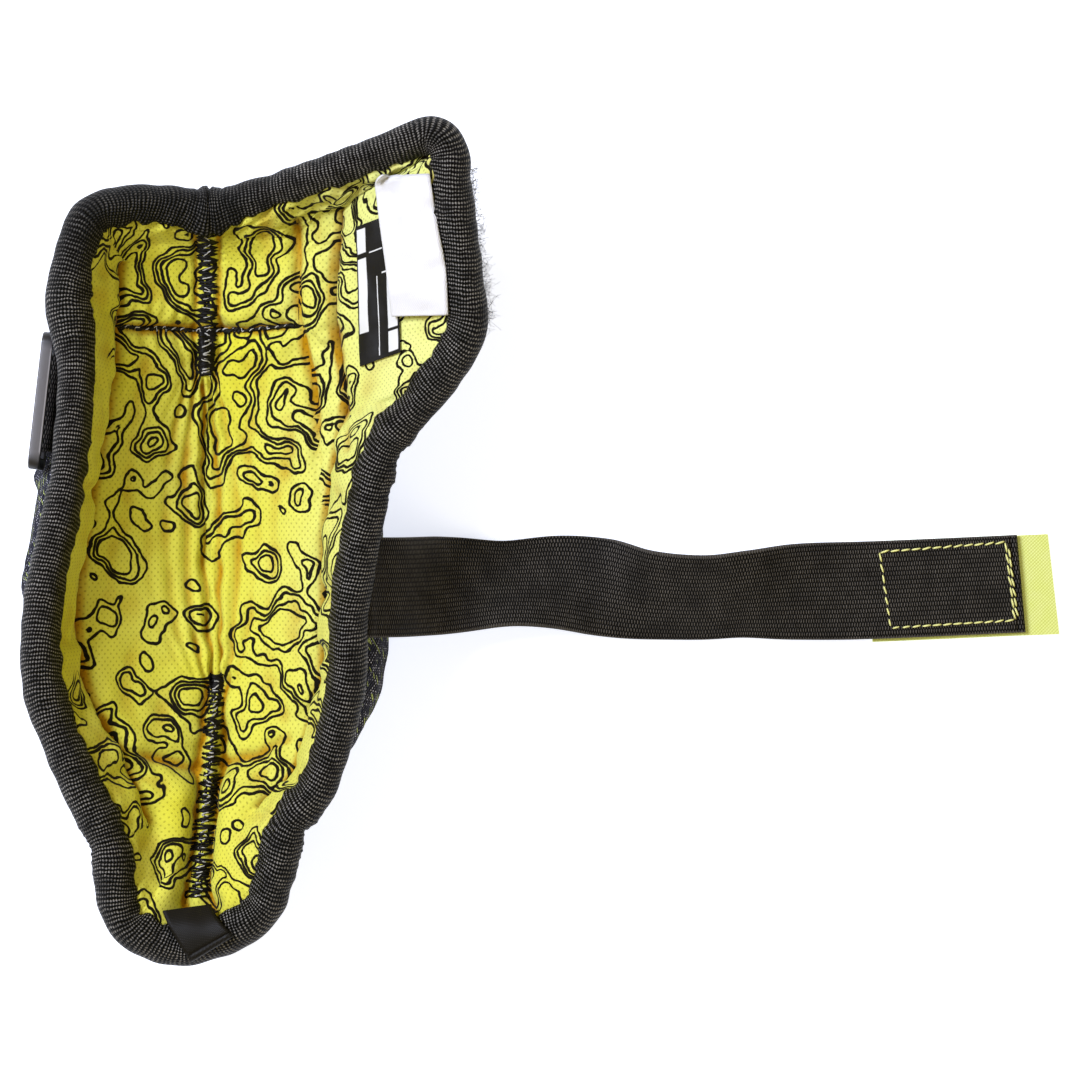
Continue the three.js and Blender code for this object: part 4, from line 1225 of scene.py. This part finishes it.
def lining_threads():
    """Threads of the darts, of the cross seam and along the fold lines; the pale ones are painted glints on
    the black thread, and the brown ones along the folds are partly a painted seam shadow.
    """
    black = Threads()
    # Pale threads laid among the black ones as painted glints.
    painted_glints = Threads()
    dense = [line_at(TOP_DART, 0.68), TOP_DART[-1]]
    zigzag(black, TOP_DART, 2.6, 2.6, 1.6, 41, 0.28)
    zigzag(black, TOP_DART, 2.6, 2.4, 2.0, 42, 0.26, 0.32)
    rungs(painted_glints, TOP_DART, 1.2, 1.5, 1.9, 43, 0.13, 0.45)
    zigzag(black, dense, 2.3, 1.8, 0.75, 44, 0.30, 0.35)
    rungs(black, dense, 2.2, 1.6, 0.5, 45, 0.30, 0.45)
    rungs(painted_glints, dense, 1.2, 0.9, 1.3, 46, 0.15, 0.72)

    rungs(black, LOW_DART, 2.3, 3.4, 1.05, 47, 0.33, 0.30)
    rungs(black, LOW_DART, 1.2, 2.0, 2.2, 48, 0.28, 0.36)
    rungs(painted_glints, LOW_DART, 0.7, 1.2, 1.5, 49, 0.15, 0.45)
    low, high = BAR_TACK["y"] - BAR_TACK["half_length"], BAR_TACK["y"] + BAR_TACK["half_length"]
    tack = [[BAR_TACK["x"], high], [BAR_TACK["x"], low]]
    rungs(black, tack, BAR_TACK["half_width"], BAR_TACK["half_width"], 0.22, 50, 0.28, 0.35)
    rungs(painted_glints, tack, 1.0, 1.0, 1.6, 51, 0.13, 0.62)

    rng = np.random.default_rng(52)
    for k, share in enumerate(np.linspace(0.012, 0.988, 58)):
        x, y = line_at(CROSS_SEAM, share)
        reach = rng.uniform(0.7, 1.3)
        lean = rng.uniform(-0.15, 0.55)
        side = rng.uniform(-0.35, 0.35)
        spots = [on_lining(x + reach * s, y + side + lean * s, 0.75 - 0.55 * s * s)
                 for s in np.linspace(-1, 1, 7)]
        black.tube(spots, 0.36 * rng.uniform(0.8, 1.25))
        if k % 3 == 1:
            spots = [on_lining(x + 0.6 * s, y + side + 0.35 * s, 1.1 - 0.4 * s * s)
                     for s in np.linspace(-1, 1, 5)]
            painted_glints.tube(spots, 0.13)
    # Brown stitches along the fold lines: partly stitching, partly a painted seam shadow.
    stitches_and_seam_shade = Threads()
    for start, end in (LEFT_PANEL, RIGHT_PANEL):
        picks = np.arange(start * STEPS + 4, end * STEPS - 4) % STATIONS
        line = profiles[picks, FOLD_ROW]
        up = profile_normals[picks, FOLD_ROW]
        walked = lengths(line)
        for place in np.arange(1.0, walked[-1] - 3, 3.1):
            inside = (walked >= place) & (walked <= place + 2.0)
            if inside.sum() > 2:
                stitches_and_seam_shade.tube(line[inside] + up[inside] * 0.1, 0.13 * rng.uniform(0.8, 1.2))
    stitches_and_seam_shade.made("fold_stitches_and_shade", BROWN_THREAD_AND_SHADE, "mesh_lining")
    black.made("lining_threads", BLACK_THREAD, "binding_tape")
    painted_glints.made("lining_glints", PAINTED_GLINT_THREAD, "binding_tape")


lining_threads()


# Strap, hook tape and its box of stitches

def strap_line():
    """Middle line of the strap, with its directions across and up."""
    rows = along_open(STRAP_LINE, STRAP_STEPS)
    twist = np.radians(rows[:, 3])
    line = rows[:, :3].copy()
    line[:, 2] += STRAP_THICKNESS / 2 + STRAP_WIDTH / 2 * np.abs(np.sin(twist))
    kernel = bell(np.arange(-STRAP_BLUR, STRAP_BLUR + 1), BLUR_WIDTH)
    padded = np.pad(line[:, 2], STRAP_BLUR, mode="reflect", reflect_type="odd")
    line[:, 2] = np.convolve(padded, kernel / kernel.sum(), mode="valid")
    along = unit(np.gradient(line, axis=0))
    level = unit(np.array([0, 1.0, 0]) - along * along[:, 1:2])
    rise = np.cross(along, level)
    side = level * np.cos(twist)[:, None] + rise * np.sin(twist)[:, None]
    return line, side, np.cross(along, side)


def strap_piece():
    """Elastic band with a woven edge and a turned end, sewn in a little way under the rim."""
    path, side, up = strap_line()
    coarse = lengths(path)
    walked = np.sort(np.concatenate([coarse, coarse[-1] - np.linspace(0.1, 5.0, 26)]))
    line, side, up = (np.stack([np.interp(walked, coarse, column) for column in value.T], -1)
                      for value in (path, side, up))
    sewn = line[:1] - unit(line[1:2] - line[:1]) * STRAP_TUCK
    line = np.concatenate([sewn, line])
    side, up = (np.concatenate([value[:1], value]) for value in (side, up))
    walked = np.concatenate([[-STRAP_TUCK], walked])
    half = STRAP_WIDTH / 2
    thick = STRAP_THICKNESS / 2
    across = np.concatenate([[-half], np.linspace(-half + 0.35, half - 0.35, 24), [half]])
    edge = np.where(np.abs(across) > half - 0.2, 0.35, 1.0)
    rib = np.where(np.abs(np.abs(across) - half + 1.1) < 0.6, 0.82, 1.0)
    upper = np.stack([across, thick * edge * rib], -1)
    lower = np.stack([across, -thick * edge], -1)
    section = np.concatenate([upper, lower[::-1]])
    end = walked[-1] - walked
    nose = np.sqrt(np.clip(1 - (1 - np.minimum(end / 0.8, 1)) ** 2, 0.04, 1))
    swell = nose * (1 + 0.35 * bell(end - 0.75, 0.5) - 1.0 * bell(end - 1.65, 0.4))
    height = section[None, :, 1] * np.where(section[None, :, 1] > 0, swell[:, None], nose[:, None])
    grid = line[:, None] + side[:, None] * section[None, :, :1] + up[:, None] * height[..., None]
    slant = STRAP_SLANT * smooth(16, 0, end)[:, None] * section[None, :, 0] / STRAP_WIDTH
    grid -= np.cross(side, up)[:, None] * slant[..., None]
    uv = pairs(walked[:, None], section[:, 0])
    faces = tube_faces(*grid.shape[:2], flip=True)
    made = piece("strap_band", grid, faces, ELASTIC, uv=uv)
    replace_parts(made, "strap")
    return made, path


def hook_piece():
    """Flat hook tape under the strap's end, cut askew."""
    line, _, _ = strap_line()
    xs = np.linspace(HOOK["start"], HOOK["end"], 24)
    across = np.linspace(-0.5, 0.5, 15) * HOOK["width"]
    tail = smooth(0.6, 1.0, (xs - HOOK["start"]) / (HOOK["end"] - HOOK["start"]))
    x = xs[:, None] - across[None, :] / HOOK["width"] * HOOK["skew"] * tail[:, None]
    middle = np.interp(xs, line[:, 0], line[:, 1])
    last_run = line[-1] - line[-30]
    middle += np.maximum(xs - line[-1, 0], 0) * (last_run[1] / last_run[0])
    y = middle[:, None] + across[None, :] - 0.5
    under = np.stack([x, y, np.full(x.shape, GAP / 2)], -1)
    top = under + [0, 0, HOOK["thickness"]]
    grid = np.concatenate([top, under[:, ::-1]], axis=1)
    faces = tube_faces(*grid.shape[:2])
    made = piece("hook_end", grid, faces, HOOKS, uv=grid[..., :2])
    for polygon in made.data.polygons:
        polygon.use_smooth = False
    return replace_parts(made, "hook_tab")


# Corners of the stitched box near the strap's end, clockwise from the upper left, in plan.
STITCH_BOX = [[175.2, -5.7], [207.8, -3.2], [210.2, -23.4], [178.0, -25.4]]
STITCH_PITCH = 2.75


def strap_stitches(top):
    """Box of stitches on the strap's upper face, with a second row at its end."""
    threads = Threads()
    rng = np.random.default_rng(51)
    corners = np.array(STITCH_BOX)
    runs = [(corners[k], corners[(k + 1) % 4]) for k in range(4)]
    runs.append((corners[1] + [0.9, -1.6], corners[2] + [0.7, 0.8]))
    for start, end in runs:
        run = end - start
        length = np.linalg.norm(run)
        count = max(round(length / STITCH_PITCH), 1)
        for k in range(count):
            a = lerp(start, end, (k + 0.07) / count)
            b = lerp(start, end, (k + 0.90) / count)
            across = np.array([-run[1], run[0]]) / length * rng.uniform(0.05, 0.3)
            threads.stitch([*(a - across), top], [*(b + across), top], 0.27, 0.36)
    return threads.made("strap_stitches", LIME_THREAD, "hook_tape")


strap, strap_path = strap_piece()
hook = hook_piece()
stitches = strap_stitches(STRAP_LINE[-1][2] + STRAP_THICKNESS)


# Plastic ring and the webbing fold that holds it

def placed(points):
    """From the ring's own axes, standing on its lower bar, to the pad's."""
    turn = math.radians(RING_AXIS["turn"])
    x, y, z = np.moveaxis(points, -1, 0)
    return np.stack([RING_AXIS["x"] + x * math.cos(turn) - y * math.sin(turn),
                     RING_AXIS["y"] + x * math.sin(turn) + y * math.cos(turn), RING_AXIS["z"] + z], -1)


# Power that makes the round section of the ring's bar nearly square
RING_SQUARENESS = 0.32


def ring_piece():
    """Plastic loop, with a pale painted highlight along its outer edge and painted shade at its bends and
    on its other faces.
    """
    bar, corner = RING["bar"], RING["corner"]
    half_y = RING["length"] / 2 - bar / 2
    half_z = (RING["height"] - bar) / 2
    bend = corner - bar / 2
    path = []
    for side, end, first in ((1, 1, 0), (-1, 1, 90), (-1, -1, 180), (1, -1, 270)):
        turns = np.radians(np.linspace(first, first + 90, 9))
        middle = [side * (half_y - bend), end * (half_z - bend)]
        path.append(middle + bend * np.stack([np.cos(turns), np.sin(turns)], -1))
    path = np.concatenate(path)
    path = np.concatenate([np.linspace(a, b, max(round(np.linalg.norm(b - a) / 1.5), 1), endpoint=False)
                           for a, b in zip(path, np.roll(path, -1, axis=0))])
    tangents = unit(np.roll(path, -1, axis=0) - np.roll(path, 1, axis=0))
    outward = np.stack([tangents[:, 1], -tangents[:, 0]], -1)
    angles = np.arange(28) / 28 * math.tau
    round_section = np.stack([np.cos(angles), np.sin(angles)], -1)
    section = np.sign(round_section) * np.abs(round_section) ** RING_SQUARENESS * bar / 2
    grid = np.zeros((len(path), len(section), 3))
    grid[..., 0] = section[None, :, 1]
    grid[..., 1:] = path[:, None] + outward[:, None] * section[None, :, :1]
    grid[..., 2] += half_z
    faces = grid_faces(*grid.shape[:2], close_rows=True, close_columns=True)
    # Painted light per point: painted shade at the bends, grey on the outer face, a painted highlight along
    # its edge.
    straight = smooth(half_y, half_y - 3.4, np.abs(path[:, 0]))
    lit_outer_face = smooth(0.35, 0.6, np.cos(angles))
    painted_edge_highlight = bell(np.degrees(angles) - 36, 15)
    painted_ring_light = straight[:, None] * (0.5 * lit_outer_face + 0.5 * painted_edge_highlight)[None, :]
    made = piece("ring_loop", placed(grid), faces, PLASTIC, body=LOOP, painted_light=painted_ring_light)
    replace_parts(made, "ring")


def keeper_piece():
    """Webbing that comes up from the shell, goes over the ring's lower bar and back down."""
    radius, thickness = KEEPER["radius"], KEEPER["thickness"]
    leaf = thickness + GAP
    over = np.radians(np.linspace(0, 180, 7))
    line = [[radius + 4.4, -12.5], [radius + 1.6, -8.0], [radius + 0.1, -4.0]]
    line += [[radius * math.cos(turn), radius * math.sin(turn)] for turn in over]
    line += [[-radius + 0.5, -2.2], [-radius + 2.2, -4.8], [radius - leaf - 0.7, -7.0],
             [radius - leaf + 2.2, -9.6], [radius - leaf + 4.3, -12.5]]
    line = along_open(line, 6)
    along = unit(np.gradient(line, axis=0))
    out = np.stack([along[:, 1], -along[:, 0]], -1) * thickness / 2
    across = np.linspace(-0.5, 0.5, 20) * KEEPER["width"]
    loop = np.concatenate([line + out, (line - out)[::-1]])
    grid = np.zeros((len(loop), len(across), 3))
    grid[..., 0] = loop[:, None, 0]
    grid[..., 2] = loop[:, None, 1]
    grid[..., 1] = across[None, :]
    grid[..., 0] += 1.4 * smooth(-4.5, -12.5, grid[..., 2]) * smooth(0.0, KEEPER["width"] / 2, grid[..., 1])
    faces = grid_faces(*grid.shape[:2], close_rows=True).tolist()
    columns = len(across)
    half = len(line)
    for k in range(half - 1):
        mate = 2 * half - 1 - k
        for edge in (0, columns - 1):
            quad = [row * columns + edge for row in (k, k + 1, mate - 1, mate)]
            faces.append(quad if edge == 0 else quad[::-1])
    uv = pairs(lengths(loop)[:, None], across)
    made = piece("ring_webbing", placed(grid), faces, ELASTIC, uv=uv)
    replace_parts(made, "ring_keeper")


ring_piece()
keeper_piece()


# Ribbon loop, folded label and printed patch

# Rows from the fold of a strip to its stitched groove
HEM_ROWS = 8


def folded_strip(name, lines, size, material, crumple, hem=0.0, pinch=0.0):
    """A strip that runs out to a fold and comes back above itself. lines: one per side position.

    hem is the depth of a groove beside the fold, and pinch is how far the upper leaf comes down on the
    lower one where the strip is sewn.
    """
    thickness = size["thickness"]
    loop = 2 * thickness + size["slot"]
    middle = loop / 2
    bend = middle - thickness / 2
    turns = np.radians(np.linspace(-90, 90, 9))[1:-1, None]
    rows = []
    for line in lines:
        tip = line[-1]
        outward = unit(tip - line[-2])
        nose = tip + outward * np.cos(turns) * bend + np.array([0, 0, 1]) * (middle + np.sin(turns) * bend)
        upper = line + [0, 0, loop - thickness / 2]
        upper[:, 2] -= pinch * smooth(0.45, 0.0, np.linspace(0, 1, len(line)))
        rows.append(np.concatenate([line + [0, 0, thickness / 2], nose, upper[::-1]]))
    centre = np.stack(rows)
    x, y = centre[..., 0], centre[..., 1]
    centre[..., 2] += crumple * waves(x, y, 9, 61) * smooth(0.0, 6.0, np.arange(centre.shape[1])[None, :])
    from_fold = np.abs(np.arange(centre.shape[1]) - (centre.shape[1] - 1) / 2)[None, :] / HEM_ROWS
    centre[..., 2] -= hem * bell(from_fold - 1, 0.22)
    along = np.gradient(centre, axis=1)
    aside = np.gradient(centre, axis=0)
    out = unit(np.cross(along, aside)) * thickness / 2
    points, faces = back_to_back(centre + out, centre - out)
    count = len(points) // 2
    index = np.arange(count).reshape(centre.shape[:2])
    border = np.concatenate([index[0, :-1], index[:-1, -1], index[-1, :0:-1], index[:0:-1, 0]])
    for a, b in zip(border, np.roll(border, -1)):
        faces.append([b, a, a + count, b + count])
    side = np.linalg.norm(centre[:, :1] - centre[:1, :1], axis=2)
    uv = pairs(walked_across(centre), side)
    return piece(name, points, faces, material, uv=np.concatenate([uv, uv]))


def pull_tab():
    """Ribbon loop over the rim at the forearm end."""
    rows = along_open(TAB_LINE, 16)
    lines = [lerp(rows[:, :3], rows[:, 3:], share) for share in np.linspace(0, 1, 14)]
    made = folded_strip("pull_ribbon", lines, TAB, RIBBON, 0.12, hem=0.32)
    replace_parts(made, "pull_tab")


def care_label():
    """Blank white label, sewn in under the wing's binding."""
    rows = along_open(LABEL_LINE, 16)
    lines = []
    for y, sewn, folded, sewn_lift, fold_lift in rows:
        sewn += LABEL["reach"]
        folded += LABEL["corner"] * max(1 - (rows[0, 0] - y) / LABEL["corner"], 0) ** 2
        line = [on_lining(lerp(sewn, folded, share), y) + [0, 0, lerp(sewn_lift, fold_lift, share)]
                for share in np.linspace(0, 1, 14)]
        lines.append(np.array(line))
    made = folded_strip("blank_label", lines, LABEL, WHITE, 0.4, pinch=0.7)
    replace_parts(made, "care_label")


def id_patch():
    """Printed patch that lies on the wing's lining."""
    low, high = PATCH_LOW, PATCH_HIGH
    rows, columns = 50, 18
    grid = np.zeros((rows, columns, 3))
    uv = np.zeros((rows, columns, 2))
    for i, up in enumerate(np.linspace(0, 1, rows)):
        for k, over in enumerate(np.linspace(0, 1, columns)):
            skew = lerp(-PATCH_SKEW, PATCH_SKEW, over)
            x = lerp(lerp(low["left"], low["right"], over), lerp(high["left"], high["right"], over), up)
            y = lerp(low["y"], high["y"], up) + skew
            grid[i, k] = on_lining(x, y, PATCH_LIFT)
            uv[i, k] = [up * (high["y"] - low["y"]), over * (low["right"] - low["left"])]
    points, faces = back_to_back(grid, grid - [0, 0, PATCH_FILM])
    made = piece("blank_patch", points, faces, FILM, uv=np.concatenate([uv, uv]))
    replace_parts(made, "id_patch")


pull_tab()
care_label()
id_patch()


# Pile patch on the wing's outer face, with its loose fibres

SHORT_FIBRES = 520
LONG_FIBRES = 300

# Rows of the shell that the pile covers, and the stations from its start that carry each kind of fibre
PILE_ROWS = (2, 28)
SHORT_STATIONS = (14, 70)
LONG_STATIONS = (16, 62)


def pile_patch():
    """Pile with short fibres all over it and long ones that reach past the rim."""
    first, last = round(PILE_SPAN[0] * STEPS), round(PILE_SPAN[1] * STEPS)
    rows = np.arange(*PILE_ROWS)
    base = shell_grid[first:last + 1][:, rows]
    out = shell_normals[first:last + 1][:, rows]
    x, y, z = base[..., 0], base[..., 1], base[..., 2]
    lift = 1.1 + 0.35 * waves(x + z, y, 2.2, 71) + 0.2 * waves(x, y - z, 1.3, 72)
    inner = np.zeros(lift.shape, bool)
    inner[1:-1, 1:-1] = True
    lift = np.where(inner, lift, 0.15)
    grid = base + out * lift[..., None]
    made = piece("pile_patch", grid, grid_faces(*grid.shape[:2]), PILE)
    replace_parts(made, "loop_patch")
    threads = Threads()
    rng = np.random.default_rng(73)
    for _ in range(SHORT_FIBRES):
        i = rng.integers(*SHORT_STATIONS)
        k = min(int(abs(rng.normal(0, 7))), len(rows) - 2)
        lean = unit(out[i, k] + rng.normal(0, 0.55, 3))
        curl = unit(rng.normal(0, 1, 3))
        long = rng.uniform(0.8, 2.2)
        t = np.linspace(0, 1, 5)[:, None]
        threads.tube(grid[i, k] + lean * long * t + curl * long * 0.45 * t * t, 0.05, 3)
    for _ in range(LONG_FIBRES):
        i = rng.integers(*LONG_STATIONS)
        k = rng.integers(0, 5)
        away = -inward[first + i]
        root = grid[i, k]
        tip = roll[first + i] + away * (ROLL + min(rng.gamma(2.0, 0.42), 2.2)) + [0, 0, rng.uniform(-7, -1)]
        tip = tip + tangent[first + i] * rng.normal(0, 2.0)
        curl = rng.normal(0, 1.2, 3)
        t = np.linspace(0, 1, 9)[:, None]
        bend = np.sin(t * math.pi) * (away * 1.5 + [0, 0, -2.0])
        line = lerp(root, tip, t) + bend + curl * np.sin(t * 2.4 * math.pi) * t
        threads.tube(line, 0.04, 3)
    threads.made("pile_fibres", FIBRE, "pile")


pile_patch()


# Floor, light and camera

CAMERA_PLACE = (0.0871, -0.0026, 1.3)
PICTURE_WIDTH = 0.2808
SENSOR = 36
FLOOR_REACH = 4.0
FLOOR_DROP = 0.0003
FLOOR_TINT = (0.8, 0.8, 0.8)
FLOOR_GLOW = (0.93, 1.0, 1.2)
GLOW_STRENGTH = 0.7
SKY_TINT = (1.0, 0.78, 0.26, 1)
SKY_STRENGTH = 0.36
KEY_LIGHT = {"place": (-0.85, 0.5, 1.25), "target": (0.0, 0.0, 0.03), "size": 0.7, "watts": 29.5}
KEY_TINT = (0.92, 1.0, 1.26)
FILL_LIGHT = {"place": (0.4, -0.5, 1.6), "target": (0.05, 0.0, 0.0), "size": 1.2, "watts": 6}


def stage_floor():
    """Pale floor, just below the pad, that glows a little so that it comes out white."""
    shader = Shader("floor", FLOOR_TINT, 0.9, emission_color=FLOOR_GLOW, emission_strength=GLOW_STRENGTH)
    mesh = bpy.data.meshes.new("floor")
    corners = np.array([(-1, -1, 0), (1, -1, 0), (1, 1, 0), (-1, 1, 0)]) * FLOOR_REACH
    mesh.from_pydata(corners.tolist(), [], [(0, 1, 2, 3)])
    mesh.materials.append(shader.material)
    made = bpy.data.objects.new("floor", mesh)
    bpy.context.scene.collection.objects.link(made)
    made.location.z = -FLOOR_DROP


def area_light(name, place, target, size, watts, tint=(1, 1, 1)):
    data = bpy.data.lights.new(name, "AREA")
    data.shape = "DISK"
    data.size = size
    data.energy = watts
    data.color = tint
    made = bpy.data.objects.new(name, data)
    bpy.context.scene.collection.objects.link(made)
    made.location = place
    made.rotation_euler = (Vector(target) - Vector(place)).to_track_quat("-Z", "Y").to_euler()


def studio():
    """Sky, two lights, and the camera that looks straight down."""
    scene = bpy.context.scene
    world = bpy.data.worlds.new("studio")
    scene.world = world
    world.use_nodes = True
    background = world.node_tree.nodes["Background"]
    background.inputs["Color"].default_value = SKY_TINT
    background.inputs["Strength"].default_value = SKY_STRENGTH
    area_light("key", **KEY_LIGHT, tint=KEY_TINT)
    area_light("fill", **FILL_LIGHT)
    scene.view_settings.view_transform = "Standard"
    data = bpy.data.cameras.new("camera")
    data.sensor_width = SENSOR
    data.lens = SENSOR * CAMERA_PLACE[2] / PICTURE_WIDTH
    made = bpy.data.objects.new("camera", data)
    scene.collection.objects.link(made)
    made.location = CAMERA_PLACE
    scene.camera = made


stage_floor()
studio()
